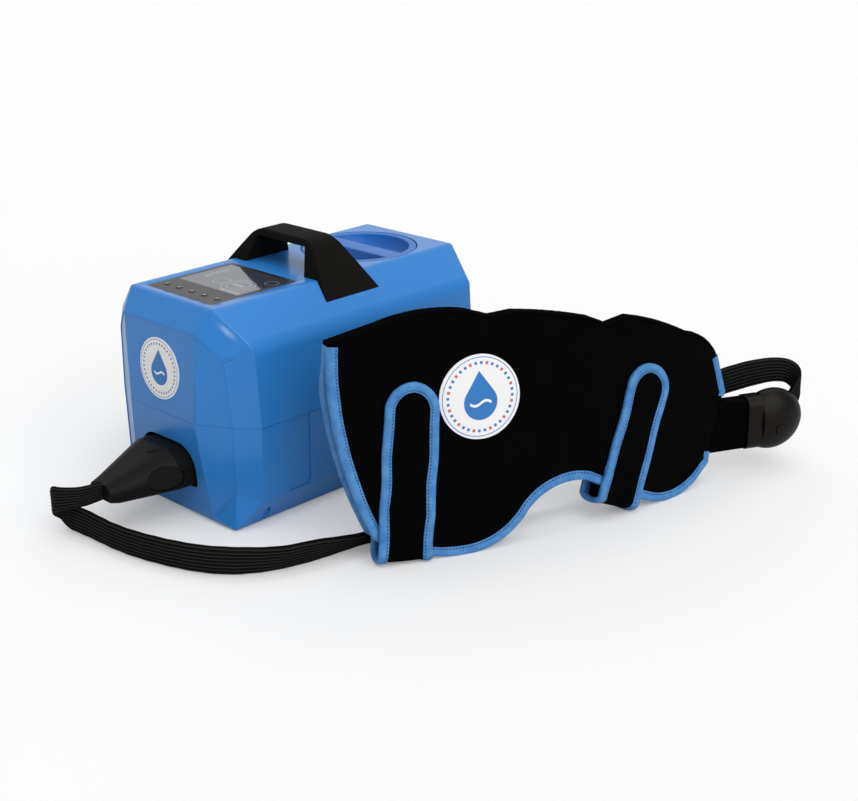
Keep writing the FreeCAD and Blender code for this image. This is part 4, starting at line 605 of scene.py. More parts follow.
sleeve, hoseSpots, hoseLength = makeHose()
print("hose made")

# wrap: flat outline (u, z) in millimetres, bent on to a leaning curved wall
wrap = {
    "place": (355.1, 40.5), "heading": 17.5, "radius": 802.0, "lean": 7.0, "layer": 6.0, "bladder": 12.0,
    "outline": [
        ("corner", -229, 229), ("side", -227, 120), ("lowSide", -202, 29), ("lobeTurn", -160, 8.2),
        ("lobe", -110, 0), ("lobeRise", -72, 8), ("waist", -37, 35), ("arch", -1, 53), ("archEnd", 35, 50),
        ("archFall", 72, 29), ("toeStart", 111, 9), ("toe", 150, 0), ("toeEnd", 189, 9), ("heel", 212, 23),
        ("neckLow", 216, 38), ("neckHigh", 246, 95), ("endTop", 235, 137), ("endRound", 222, 155),
        ("endStart", 188, 174), ("crest", 143, 196), ("crestStart", 98, 211), ("dip", 73, 207),
        ("ridgeEnd", 48, 219), ("ridge", 4, 231), ("ridgeStart", -40, 239), ("notch", -64, 237),
        ("peakEnd", -88, 246), ("peak", -130, 251), ("peakStart", -179, 243),
    ],
    "arcs": ["side", "lobeTurn", "lobeRise", "arch", "archFall", "toe", "endRound", "crest", "ridge", "peak"],
}


def wallPoint(u, z, depth):
    # a point depth behind the wall's front, all in millimetres, in metres
    heading, lean = math.radians(wrap["heading"]), math.radians(wrap["lean"])
    reach = wrap["radius"] - math.tan(lean) * z - depth
    x = math.sqrt(max(reach * reach - u * u, 0.0)) - wrap["radius"]
    return Vector((wrap["place"][0] + x * math.cos(heading) + u * math.sin(heading),
                   wrap["place"][1] - x * math.sin(heading) + u * math.cos(heading), z)) * mm


def arcThrough(a, b, c, step):
    # points from a to c on the circle through b
    d = 2 * (a.x * (b.y - c.y) + b.x * (c.y - a.y) + c.x * (a.y - b.y))
    if abs(d) < 1e-6:
        count = max(2, int((c - a).length / step))
        return [a.lerp(c, k / count) for k in range(count + 1)]
    squares = [p.length_squared for p in (a, b, c)]
    centre = Vector((squares[0] * (b.y - c.y) + squares[1] * (c.y - a.y) + squares[2] * (a.y - b.y),
                     squares[0] * (c.x - b.x) + squares[1] * (a.x - c.x) + squares[2] * (b.x - a.x))) / d
    start = math.atan2(a.y - centre.y, a.x - centre.x)
    sweep = [(math.atan2(p.y - centre.y, p.x - centre.x) - start) % math.tau for p in (b, c)]
    turn = sweep[1] if sweep[0] < sweep[1] else sweep[1] - math.tau
    radius = (a - centre).length
    count = max(3, int(abs(turn) * radius / step))
    return [centre + Vector((math.cos(start + turn * k / count), math.sin(start + turn * k / count))) * radius
            for k in range(count + 1)]


def outlineLine(step):
    # the closed outline as (u, z) points, without a repeat at its end
    spots = {name: Vector((u, z)) for name, u, z in wrap["outline"]}
    names = [name for name, _, _ in wrap["outline"]] + [wrap["outline"][0][0]]
    line, i = [], 0
    while i < len(names) - 1:
        if names[i + 1] in wrap["arcs"]:
            run = arcThrough(*[spots[n] for n in names[i:i + 3]], step)
            i += 2
        else:
            a, b = spots[names[i]], spots[names[i + 1]]
            count = max(1, int((b - a).length / step))
            run = [a.lerp(b, k / count) for k in range(count + 1)]
            i += 1
        line += run[:-1]
    return line


def edgeDistance(point, line):
    best = 1e9
    for a, b in zip(line, line[1:] + line[:1]):
        run = b - a
        s = max(0.0, min(1.0, (point - a).dot(run) / max(run.length_squared, 1e-9)))
        best = min(best, (point - a - run * s).length)
    return best


def flatPad(line, grid, rims):
    # a flat face with inset rings near its edge, cut by a grid; x is u, y is z
    bm = bmesh.new()
    face = bm.faces.new([bm.verts.new((p.x, p.y, 0)) for p in line])
    face.normal_update()
    if face.normal.z < 0:
        face.normal_flip()
    for rim in rims:
        inner = max(bm.faces, key=lambda f: f.calc_area())
        bmesh.ops.inset_region(bm, faces=[inner], thickness=rim, use_even_offset=True)
    us, zs = [p.x for p in line], [p.y for p in line]
    for low, high, way in ((min(us), max(us), Vector((1, 0, 0))), (min(zs), max(zs), Vector((0, 1, 0)))):
        for k in range(1, int((high - low) / grid)):
            spot = way * (low + k * grid)
            bmesh.ops.bisect_plane(bm, geom=bm.verts[:] + bm.edges[:] + bm.faces[:], plane_co=spot, plane_no=way,
                                   dist=1e-4)
    return bm


def softPad(name, line, front, back, rounding, place, finish, body, replaced=(), grid=9.0, rims=(0.5, 1.0, 1.8)):
    # a soft layer between two depths behind a face, its rim rounded; place maps (x, y, depth)
    bm = flatPad(line, grid, rims)
    made = bmesh.ops.extrude_face_region(bm, geom=bm.faces[:], use_keep_orig=True)["geom"]
    behind = {v for v in made if isinstance(v, bmesh.types.BMVert)}
    middle, half = (front + back) / 2, (back - front) / 2
    for v in bm.verts:
        x, y = v.co.x, v.co.y
        near = min(1.0, edgeDistance(Vector((x, y)), line) / rounding)
        full = 0.25 + 0.75 * math.sqrt(1 - (1 - near) ** 2)
        v.co = place(x, y, middle + half * full * (1 if v in behind else -1))
    bmesh.ops.recalc_face_normals(bm, faces=bm.faces)
    return addPiece(name, bm, finish, body, replaced, 70)


wrapLine = outlineLine(6.0)
wrapWaves = {"broad": 1.6, "fine": 0.6, "crease": 2.0, "outward": 1.0}


def wrapWave(u, z):
    # slack folds that fade towards the lower edge, and creases below the two dips of the upper edge
    broad = wrapWaves["broad"] * noise.noise(Vector((u / 85, z / 70, 2.0))) * min(1, z / 120)
    fine = wrapWaves["fine"] * noise.noise(Vector((u / 22, z / 34, 7.0))) * min(1, z / 160)
    notch = math.exp(-((u + 64) / 14) ** 2) * max(0, (z - 180) / 60)
    dip = math.exp(-((u - 73) / 14) ** 2) * max(0, (z - 150) / 60)
    return max(-wrapWaves["outward"], broad + fine + wrapWaves["crease"] * (notch + dip))


upperEdge = sorted((u, z) for _, u, z in wrap["outline"] if z > 130)


def closing(u, z):
    # 0 over the body of the wrap to 1 at its upper edge, where the layers are sewn together
    height = upperEdge[0][1] if u < upperEdge[0][0] else upperEdge[-1][1]
    for (ua, za), (ub, zb) in zip(upperEdge, upperEdge[1:]):
        if ua <= u <= ub:
            height = za + (zb - za) * (u - ua) / max(ub - ua, 1e-6)
    s = max(0.0, min(1.0, (z - height + 60) / 52))
    return s * s * (3 - 2 * s)


def grounded(spot):
    spot.z = max(spot.z, 0.2 * mm)
    return spot


def onWrap(u, z, depth):
    behind = max(0.0, min(depth - wrap["layer"], wrap["bladder"]))
    return grounded(wallPoint(u, z, depth - behind * 0.94 * closing(u, z) + wrapWave(u, z)))


deep = wrap["layer"] + wrap["bladder"]
layers = {
    "front": {"near": 0.3, "far": wrap["layer"], "node": "wrap_front_panel", "tape": "wrap_front_binding"},
    "rear": {"near": deep, "far": deep + wrap["layer"] - 0.3, "node": "wrap_rear_panel",
             "tape": "wrap_rear_binding"},
}


def insetLine(line, distance):
    # the outline moved inwards, without the points that come too near the edge
    count = len(line)
    moved = []
    for i, p in enumerate(line):
        along = (line[(i + 1) % count] - line[i - 1]).normalized()
        spot = p + Vector((along.y, -along.x)) * -distance
        if edgeDistance(spot, line) > distance * 0.97:
            moved.append(spot)
    return moved


def makeWrap():
    for name, layer in layers.items():
        panel = softPad(name + "Layer", wrapLine, layer["near"], layer["far"], 3.2, onWrap, finishes["knit"], "wrap",
                        (layer["node"],))
    core = softPad("core", insetLine(wrapLine, 6.0), wrap["layer"] - 0.5, deep + 0.5, 9.0, onWrap, finishes["knit"],
                   "wrap", ("wrap_bladder",), 14.0, (1.5, 2.5))


makeWrap()
print("wrap layers made")

# binding: tape folded over the edge; each section point is (inward, outward from the face)
tape = {
    "section": [(9.6, 0.1), (9.2, 0.75), (7.7, 0.55), (5.5, 1.15), (3.0, 1.3), (1.0, 1.0), (-0.1, 0.1), (-0.5, -1.4)],
    "leftTop": 227.0, "rightTop": 140.0, "leftReach": -212.0, "neckLow": 36.0, "neckHigh": 88.0,
}


def tapeSection(thick):
    # front half, then its mirror image behind
    front = tape["section"]
    return front + [(a, -thick - h) for a, h in reversed(front)]


def tapeBand(name, path, normals, thick, mapping, finish, body, replaced, seed, wrinkles=()):
    section = tapeSection(thick)
    rings, inwardRow, total, spans = [], [], 0.0, [0.0]
    for a, b in zip(path, path[1:]):
        total += (b - a).length
        spans.append(total)
    for i, (spot, inward) in enumerate(zip(path, normals)):
        loose = 0.45 * noise.noise(Vector((spans[i] / 17, seed, 0.3)))
        narrow = 0.5 * noise.noise(Vector((spans[i] / 30, seed, 5.0)))
        for place, size in wrinkles:
            bulge = size * math.exp(-((spans[i] - place) / 3.5) ** 2)
            loose += bulge
            narrow -= bulge * 0.5
        ring = []
        for k, (a, h) in enumerate(section):
            puff = loose if 1 < k < len(section) - 2 else 0.0
            lift = h + (puff if h > -thick / 2 else -puff)
            flat = spot + inward * (a + (narrow if a > 5 else 0))
            ring.append(mapping(flat, lift))
        rings.append(ring)
    widths = [abs(a) for a, _ in section]
    return sweepBand(name, rings, False, "tape", lambda j, i: (widths[j] * mm, spans[i] * mm), finish, body,
                     replaced, 80, caps=False)


def edgeRuns(carries):
    # stretches of the outline whose points pass the test
    line = outlineLine(3.0)
    keep = [carries(p) for p in line]
    starts = [i for i in range(len(line)) if keep[i] and not keep[i - 1]]
    runs = []
    for start in starts:
        run, k = [], start
        while keep[k % len(line)]:
            run.append(line[k % len(line)])
            k += 1
        runs.append(run)
    return runs


def taped(p):
    neck = p.x > 205 and tape["neckLow"] < p.y < tape["neckHigh"]
    return ((p.x < tape["leftReach"] and p.y < tape["leftTop"]) or p.y < tape["rightTop"]) and not neck


def inwardNormals(path, side):
    normals = []
    last = len(path) - 1
    for i in range(len(path)):
        along = (path[min(i + 1, last)] - path[max(i - 1, 0)]).normalized()
        normals.append(Vector((-along.y, along.x)) * side)
    smooth = []
    for i in range(len(path)):
        near = normals[max(0, i - 2):i + 3]
        total = Vector((0, 0))
        for n in near:
            total += n
        smooth.append(total.normalized())
    return smooth


def joinPieces(name, pieces, finish, body, replaced):
    # several meshes as one piece
    bm = bmesh.new()
    for piece in pieces:
        bm.from_mesh(piece.data)
        bpy.data.objects.remove(piece)
    return addPiece(name, bm, finish, body, replaced, 80)


def bindLayer(name, layer):
    face = layer["near"]
    thick = layer["far"] - layer["near"]
    bands = []
    for k, run in enumerate(edgeRuns(taped)):
        bands.append(tapeBand("%sTape%d" % (name, k), run, inwardNormals(run, 1), thick,
                              lambda p, h: onWrap(p.x, p.y, face - h), finishes["tape"], "wrap", (), face + 7 * k))
    joinPieces(name + "Binding", bands, finishes["tape"], "wrap", (layer["tape"],))


overlock = {"across": 1.3, "thread": 0.55, "pitch": 2.7}


def overlockLayer(name, layer):
    # stitched raw edge: a band of thread loops round the rim where there is no tape
    middle, half = (layer["near"] + layer["far"]) / 2, (layer["far"] - layer["near"]) / 2
    for k, run in enumerate(edgeRuns(lambda p: not taped(p))):
        rings, travelled = [], 0.0
        normals = inwardNormals(run, 1)
        for i in range(len(run) - 1):
            count = max(1, round((run[i + 1] - run[i]).length / (overlock["pitch"] / 4)))
            for j in range(count):
                spot = run[i].lerp(run[i + 1], j / count)
                inward = normals[i].lerp(normals[i + 1], j / count)
                beat = 0.5 + 0.5 * math.sin(math.tau * travelled / overlock["pitch"])
                stray = 0.4 * noise.noise(Vector((travelled / 1.9, middle, k)))
                reach = overlock["across"] + overlock["thread"] * beat + stray
                ring = []
                for n in range(8):
                    a = math.tau * n / 8
                    flat = spot + inward * (0.9 - math.cos(a) * reach)
                    ring.append(onWrap(flat.x, flat.y, middle + math.sin(a) * (half + 0.25 + 0.3 * beat)))
                rings.append(ring)
                travelled += (run[i + 1] - run[i]).length / count
        sweepBand("%sOverlock%d" % (name, k), rings, True, "tape", lambda j, i: (0.02, i * 0.0007), finishes["knit"],
                  "wrap")


for name, layer in layers.items():
    bindLayer(name, layer)
    overlockLayer(name, layer)
print("bindings made")

# closing straps: a slab on a plane that touches the wall, and a tail that turns under the wrap
straps = {
    "long": {"u": -172.0, "z": 8.0, "width": 56.0, "length": 178.0, "tilt": 6.0, "pinches": [(52.0, 2.0), (345.0, 1.6)]},
    "short": {"u": 70.0, "z": 20.0, "width": 57.0, "length": 148.0, "tilt": 24.0, "pinches": [(30.0, 1.2), (160.0, 1.0)]},
}
strapForm = {"thick": 3.6, "gap": 1.2, "drop": 7.0, "tail": 22.0, "clear": 0.7}


def strapFrame(strap):
    lean, tilt, heading = (math.radians(a) for a in (wrap["lean"], strap["tilt"], wrap["heading"]))
    mu = strap["u"] + strap["length"] / 2 * math.sin(tilt)
    mz = strap["z"] + strap["length"] / 2 * math.cos(tilt)
    reach = wrap["radius"] - math.tan(lean) * mz
    turn = math.asin(mu / reach)
    spot = Vector((reach * math.cos(turn) - wrap["radius"], mu, mz))
    tangent = Vector((-math.sin(turn), math.cos(turn), 0))
    outward = Vector((math.cos(lean) * math.cos(turn), math.cos(lean) * math.sin(turn), math.sin(lean)))
    uphill = outward.cross(tangent)
    along = uphill * math.cos(tilt) + tangent * math.sin(tilt)
    across = tangent * math.cos(tilt) - uphill * math.sin(tilt)
    foot = spot - along * strap["length"] / 2 + outward * strapForm["gap"]
    swing = Matrix.Rotation(-heading, 3, "Z")
    foot = swing @ foot + Vector((*wrap["place"], 0))
    return foot, swing @ along, swing @ across, swing @ outward


def strapPlace(frameOf):
    # maps (across, along, depth behind the front face); below the foot the strap turns under the wrap
    foot, along, across, outward = frameOf
    depthHalf = (deep + wrap["layer"] + 2 * strapForm["gap"] + strapForm["thick"]) / 2
    half = strapForm["thick"] / 2

    def place(s, t, depth):
        lift = strapForm["thick"] - depth
        base = foot + across * s
        if t >= 0:
            return grounded((base + along * t + outward * lift) * mm)
        drop = max(1.0, min(strapForm["drop"], (base.z - half - strapForm["clear"]) / along.z))
        bend = math.pi * math.sqrt((depthHalf ** 2 + drop ** 2) / 2)
        angle = math.pi * min(1.0, -t / bend)
        out = half - depthHalf * (1 - math.cos(angle))
        up = -drop * math.sin(angle) + max(0.0, -t - bend)
        way = Vector((-depthHalf * math.sin(angle), -drop * math.cos(angle))).normalized()
        off = lift - half
        return grounded((base + outward * (out - way.y * off) + along * (up + way.x * off)) * mm)

    return place


def strapOutline(strap, low):
    half, top = strap["width"] / 2, strap["length"] - strap["width"] / 2
    sides = [Vector((-half, low + (top - low) * k / 24)) for k in range(24)]
    arc = [Vector((-half * math.cos(math.pi * k / 20), top + half * math.sin(math.pi * k / 20))) for k in range(21)]
    return sides + arc + [Vector((half, p.y)) for p in reversed(sides)]


def swayed(p, seed):
    # a sewn edge is never quite straight
    return p + Vector((1.9 * noise.noise(Vector((p.y / 38, seed, 0.5))) * (1 if p.x > 0 else -1), 0))


def makeStrap(name, strap):
    place = strapPlace(strapFrame(strap))
    body = name + "_closure"
    seed = strap["tilt"]
    thick = strapForm["thick"]
    line = [swayed(p, seed) for p in strapOutline(strap, 0.0)]
    panel = softPad(name + "Strap", line[::-1], 0.2, thick - 0.2, 1.6, place, finishes["knit"], body,
                    (name + "_strap",), 8.0, (0.6, 1.2))
    edge = line
    tapeBand(name + "StrapBinding", edge, inwardNormals(edge, -1), thick, lambda p, h: place(p.x, p.y, -h),
             finishes["tape"], body, (name + "_strap_binding",), seed, strap["pinches"])
    half = strap["width"] / 2
    low = -50.0 - strapForm["tail"] / 2
    tail = [Vector((-half, low)), Vector((half, low)), Vector((half, 1.2)), Vector((-half, 1.2))]
    turned = softPad(name + "StrapTail", tail, 0.4, thick - 0.4, 1.6, place, finishes["knit"], "wrap", (), 4.0,
                     (0.6, 1.2))
    for side in (-1, 1):
        count = 30
        edge = [Vector((side * half, low + (-0.2 - low) * k / count)) for k in range(count + 1)]
        tapeBand("%sTailTape%d" % (name, side > 0), edge, inwardNormals(edge, side), thick,
                 lambda p, h: place(p.x, p.y, -h), finishes["tape"], "wrap", (), seed + side)


for name, strap in straps.items():
    makeStrap(name, strap)
print("straps made")

# patch on the wrap and badge on the housing: thin discs with a rounded rim
patch = {"u": -84.0, "z": 160.0, "radius": 43.0, "thick": 0.8, "gap": 0.3}


def roundPad(radius, count, rings):
    bm = bmesh.new()
    bmesh.ops.create_circle(bm, cap_ends=True, radius=radius, segments=count)
    inner = bm.faces[:]
    for ring in rings:
        bmesh.ops.inset_region(bm, faces=inner, thickness=ring, use_even_offset=True)
    return bm


def wrapPatch():
    rim = [Vector((math.cos(math.tau * k / 96), math.sin(math.tau * k / 96))) * patch["radius"] for k in range(96)]
    bm = flatPad(rim, 7.0, (0.25, 0.35, 1.2))
    made = bmesh.ops.extrude_face_region(bm, geom=bm.faces[:], use_keep_orig=True)["geom"]
    outer = {v for v in made if isinstance(v, bmesh.types.BMVert)}
    for v in bm.verts:
        away = patch["radius"] - Vector((v.co.x, v.co.y)).length
        lift = patch["gap"] + (patch["thick"] * min(1, 0.45 + away * 0.9) if v in outer else -0.4)
        v.co = onWrap(patch["u"] + v.co.x, patch["z"] + v.co.y, -lift)
    bmesh.ops.recalc_face_normals(bm, faces=bm.faces)
    centre = wallPoint(patch["u"], patch["z"], 0)
    right = (wallPoint(patch["u"] + 5, patch["z"], 0) - centre).normalized()
    up = (wallPoint(patch["u"], patch["z"] + 5, 0) - centre).normalized()
    finish = printedDisc("patchPrint", centre, right, up, patch["radius"] * mm)
    return addPiece("patch", bm, finish, "wrap", ("wrap_patch",), 50)


wrapPatch()
badge = {"centre": (0.0, -196.9, 161.0), "tilt": 2.52, "radius": 33.5, "proud": 0.8, "sunk": 1.0}


def frontBadge():
    bm = roundPad(badge["radius"], 96, (0.25, 0.35, 3.4, 8.0, 8.0, 6.0))
    made = bmesh.ops.extrude_face_region(bm, geom=bm.faces[:], use_keep_orig=True)["geom"]
    outer = {v for v in made if isinstance(v, bmesh.types.BMVert)}
    tilt = math.radians(badge["tilt"])
    right = Vector((1, 0, 0))
    normal = Vector((0, -math.cos(tilt), math.sin(tilt)))
    up = normal.cross(right)
    centre = Vector(badge["centre"]) * mm
    for v in bm.verts:
        away = badge["radius"] - Vector((v.co.x, v.co.y)).length
        lift = badge["proud"] * min(1, 0.4 + away) if v in outer else -badge["sunk"]
        v.co = centre + (right * v.co.x + up * v.co.y + normal * lift) * mm
    bmesh.ops.recalc_face_normals(bm, faces=bm.faces)
    finish = printedDisc("badgePrint", centre, right, up, badge["radius"] * mm)
    addPiece("badge", bm, finish, "machine", ("front_disc",), 50)


frontBadge()

# housing: the model's shells with a sunk front cover and rounded edges
housing = {
    "brow": (61.3, -194.7, 210.5), "meetingBefore": (89.04, -181.05, 195.07),
    "meeting": (89.87, -180.8, 185.1), "wing": (95.9, -179.0, 112.8),
    "flare": (94.5, -179.0, 39.2), "chin": (67.01, -192.5, 10.0), "crease": (56.0, -199.0, 112.8),
    "coverMargin": 2.0, "coverDepth": 1.0, "round": 9.0, "segments": 5,
}


def frontCover():
    # closed form that sinks the front cover below its frame
    bm = bmesh.new()
    spots = {}
    for side in (1, -1):
        for name in ("brow", "meeting", "wing", "flare", "chin", "crease"):
            x, y, z = housing[name]
            spots[name, side] = bm.verts.new((side * x * mm, y * mm, z * mm))
    faces = [bm.faces.new([spots["crease", -1], spots["crease", 1], spots["brow", 1], spots["brow", -1]]),
             bm.faces.new([spots["chin", -1], spots["chin", 1], spots["crease", 1], spots["crease", -1]])]
    for side in (1, -1):
        high = [spots[n, side] for n in ("crease", "wing", "meeting", "brow")]
        low = [spots[n, side] for n in ("chin", "flare", "wing", "crease")]
        faces += [bm.faces.new(high[::side]), bm.faces.new(low[::side])]
    frameFaces = bmesh.ops.inset_region(bm, faces=faces, thickness=housing["coverMargin"] * mm,
                                        use_even_offset=True)["faces"]
    bmesh.ops.delete(bm, geom=frameFaces, context="FACES")
    for v in bm.verts:
        if v.co.z < 0.0135:
            v.co.z -= 0.008
            v.co.y += 0.0006
    inward = Vector((0, housing["coverDepth"] * mm, 0))
    bmesh.ops.translate(bm, verts=bm.verts[:], vec=inward)
    made = bmesh.ops.extrude_face_region(bm, geom=bm.faces[:], use_keep_orig=True)["geom"]
    outer = [v for v in made if isinstance(v, bmesh.types.BMVert)]
    bmesh.ops.translate(bm, verts=outer, vec=Vector((0, -0.012, 0)))
    bmesh.ops.recalc_face_normals(bm, faces=bm.faces)
    return bm


def housingWeight(edge):
    # wide soft shoulders, soft roof edges, crisper corners; shares of the full rounding
    turned = math.degrees(edge.calc_face_angle(0))
    faces = edge.link_faces
    tiny = edge.calc_length() < 8 * mm or min(f.calc_area() for f in faces) < 5e-5
    if tiny or not 3.5 < turned < 75 or not edge.is_convex:
        return 0.0
    a, b = (v.co for v in edge.verts)
    lengthwise = abs(a.x - b.x) < 0.0008
    high = min(a.z, b.z)
    if lengthwise and 0.19 < high < 0.205:
        return 1.0
    if high > 0.23:
        return 0.3
    if min(abs(a.y), abs(b.y)) > 0.1775 and turned > 15:
        return 0.14
    return 0.2


def dropCorners(bm):
    # the four upper corners reach further down the wings, which leaves full, slightly bulging facets
    x, y, z = (c * mm for c in housing["meetingBefore"])
    after = Vector(housing["meeting"]) * mm
    for v in bm.verts:
        if (Vector((abs(v.co.x), -abs(v.co.y), v.co.z)) - Vector((x, y, z))).length < 0.4 * mm:
            v.co = Vector((math.copysign(after.x, v.co.x), math.copysign(after.y, v.co.y), after.z))


def makeShell(node, name):
    solid = mergedCopy(node)
    dropCorners(solid)
    bm = cutAway(solid, frontCover())
    weighEdges(bm, housingWeight)
    piece = addPiece(name, bm, finishes["blue"], "machine", (node,), 30)
    roundedEdges(piece, housing["round"] * mm, housing["segments"])
    return piece


upperShell = makeShell("upper_housing", "upperShell")
lowerShell = makeShell("lower_housing", "lowerShell")
print("housing made")

# pieces that keep the model's form and gain rounded edges
def roundedNode(node, name, finish, body, width, low=20, area=4e-5, sharp=30, weigh=None, form=None, areaNormals=True):
    bm = form or mergedCopy(node)

    def broad(edge):
        return edge.calc_length() > 4 * mm and min(f.calc_area() for f in edge.link_faces) > area

    weighEdges(bm, weigh or sharpOnly(low, broad))
    piece = addPiece(name, bm, finish, body, (node,), sharp)
    roundedEdges(piece, width * mm, 3, areaNormals)
    return piece


# handle: the outer corners of its bar are turned on a wide radius
bar = {"top": 272.0, "corner": 46.0, "foot": (93.0, 216.3), "radius": 30.0, "soft": 2.0}


def cornerCutter(side):
    # closed form outside the round corner on one side
    slope = math.atan2(bar["top"] - bar["foot"][1], bar["foot"][0] - bar["corner"])
    reach = bar["radius"] * math.tan(slope / 2)
    start = bar["corner"] - reach
    profile = []
    for k in range(13):
        a = slope * k / 12
        profile.append((start + bar["radius"] * math.sin(a), bar["top"] - bar["radius"] * (1 - math.cos(a))))
    profile += [(profile[-1][0] + 14, profile[-1][1] - 14 * math.tan(slope) + 0.2), (120.0, bar["top"] + 12),
                (start, bar["top"] + 12)]
    bm = bmesh.new()
    face = bm.faces.new([bm.verts.new((side * x * mm, -0.06, z * mm)) for x, z in profile])
    made = bmesh.ops.extrude_face_region(bm, geom=[face], use_keep_orig=True)["geom"]
    bmesh.ops.translate(bm, verts=[v for v in made if isinstance(v, bmesh.types.BMVert)], vec=(0, 0.12, 0))
    bmesh.ops.recalc_face_normals(bm, faces=bm.faces)
    return bm


def handleWeight(edge):
    a, b = (v.co for v in edge.verts)
    low = min(a.z, b.z) < 0.2352
    lengthwise = abs(a.y - b.y) < 12 * mm
    return 1.0 if lengthwise and not low and edge.is_convex and edge.calc_face_angle(0) > math.radians(35) else 0.0


def capWeight(edge):
    # only the rims at the top are rounded
    high = min(v.co.z for v in edge.verts) > 0.2335
    return 1.0 if high and edge.is_convex and edge.calc_face_angle(0) > math.radians(40) else 0.0


grip = cutAway(cutAway(mergedCopy("handle"), cornerCutter(1)), cornerCutter(-1))
roundedNode("handle", "handleBar", finishes["grip"], "machine", bar["soft"], weigh=handleWeight, form=grip)
roundedNode("tank_cap", "fillerCap", finishes["neckBlue"], "cap", 1.5, weigh=capWeight, areaNormals=False)
roundedNode("display_window", "displayPlate", finishes["panel"], "machine", 0.4, 40)
roundedNode("wrap_neck", "wrapNeck", finishes["knit"], "wrap", 1.2, 40)
roundedNode("wrap_collar", "wrapCollar", finishes["domeBlack"], "wrap", 1.0, 50)
print("rounded pieces made")

# display: dim drawings under glass, and small marks on the keys
lcd = {
    "x": (-0.050, 0.050), "y": (-0.127, -0.055), "top": 0.2345, "glass": 0.0001,
    "rings": [(-0.007, -0.102, 0.0096), (0.021, -0.102, 0.019), (0.021, -0.102, 0.013), (0.042, -0.073, 0.0075)],
}


def ringMark(tree, x, y, centre, radius, width, soft=0.0002):
    dx = calc(tree, "SUBTRACT", x, centre[0])
    dy = calc(tree, "SUBTRACT", y, centre[1])
    far = calc(tree, "SQRT", calc(tree, "ADD", calc(tree, "MULTIPLY", dx, dx), calc(tree, "MULTIPLY", dy, dy)))
    return between(tree, far, radius - width / 2, radius + width / 2, soft)


def lcdPicture():
    finish, tree, shader = newFinish("lcdGlass", (0.03, 0.035, 0.05), 0.07, {"IOR": 1.75, "Coat Weight": 0.3})
    place = addNode(tree, "SeparateXYZ", {0: objectPoint(tree)})
    x, y = place.outputs["X"], place.outputs["Y"]
    marks = None
    for cx, cy, radius in lcd["rings"]:
        ring = ringMark(tree, x, y, (cx, cy), radius, 0.0009)
        marks = ring if marks is None else calc(tree, "MAXIMUM", marks, ring)
    beat = calc(tree, "PINGPONG", x, 0.0016)
    bars = calc(tree, "MULTIPLY", between(tree, beat, -1.0, 0.001, 0.0001),
                calc(tree, "MULTIPLY", between(tree, x, 0.016, 0.047, 0.0002), between(tree, y, -0.124, -0.1195, 0.0002)))
    tick = calc(tree, "MULTIPLY", between(tree, calc(tree, "PINGPONG", y, 0.0022), -1.0, 0.0008, 0.0001),
                calc(tree, "MULTIPLY", between(tree, x, -0.040, -0.032, 0.0003), between(tree, y, -0.104, -0.07, 0.0003)))
    digits = calc(tree, "MULTIPLY", between(tree, calc(tree, "PINGPONG", x, 0.003), 0.0006, 0.0026, 0.0002),
                  calc(tree, "MULTIPLY", between(tree, x, 0.013, 0.029, 0.0002), between(tree, y, -0.105, -0.099, 0.0002)))
    haze = speckle(tree, objectPoint(tree), 30.0)
    tone = mixed(tree, haze, (0.035, 0.040, 0.058), (0.055, 0.062, 0.085))
    tone = mixed(tree, calc(tree, "MULTIPLY", calc(tree, "MAXIMUM", marks, digits), 0.8), tone, (0.30, 0.36, 0.46))
    tone = mixed(tree, calc(tree, "MAXIMUM", bars, tick), tone, (0.16, 0.34, 0.33))
    tree.links.new(tone, shader.inputs["Base Color"])
    return finish


def keyFinish():
    finish, tree, shader = newFinish("keyGrey", (0.02, 0.02, 0.022), 0.35)
    point = objectPoint(tree)
    place = addNode(tree, "SeparateXYZ", {0: point})
    near = calc(tree, "PINGPONG", place.outputs["X"], 0.01075)
    ring = ringMark(tree, near, place.outputs["Y"], (0.0, -0.148), 0.0016, 0.0006, 0.0001)
    stem = calc(tree, "MULTIPLY", between(tree, near, -1.0, 0.0003, 0.0001),
                between(tree, place.outputs["Y"], -0.1478, -0.1455, 0.0001))
    tone = mixed(tree, calc(tree, "MAXIMUM", ring, stem), (0.018, 0.018, 0.02), (0.40, 0.41, 0.42))
    tree.links.new(tone, shader.inputs["Base Color"])
    bumped(tree, shader, speckle(tree, point, 1500.0), 0.1, 0.0001)
    return finish


def makeScreen():
    bm = bmesh.new()
    bmesh.ops.create_cube(bm, size=1)
    sizes = [lcd["x"][1] - lcd["x"][0], lcd["y"][1] - lcd["y"][0], lcd["glass"]]
    bmesh.ops.scale(bm, vec=sizes, verts=bm.verts)
    upright = [e for e in bm.edges if abs(e.verts[0].co.z - e.verts[1].co.z) > 5e-5]
    bmesh.ops.bevel(bm, geom=upright, offset=0.0015, segments=3, profile=0.5, affect="EDGES", material=-1)
    middle = Vector((sum(lcd["x"]) / 2, sum(lcd["y"]) / 2, lcd["top"] + lcd["glass"] / 2))
    bmesh.ops.translate(bm, verts=bm.verts, vec=middle)
    addPiece("lcdGlass", bm, lcdPicture(), "machine")


finishes["key"] = keyFinish()
makeScreen()
for key in ("power", "mode", "temperature", "time", "pressure"):
    roundedNode(key + "_button", key + "Key", finishes["key"], key + "_key", 0.3, 50, 5e-6)

# thumb pads on the plug's sides: ovals with a raised rim and a dished middle
pad = {"centre": (-226.0, 54.0), "size": (20.0, 13.0), "waist": -212.0, "half": 43.5, "taper": 21.5 / 61,
       "rim": 0.9, "dish": 3.4, "inward": 5.5}


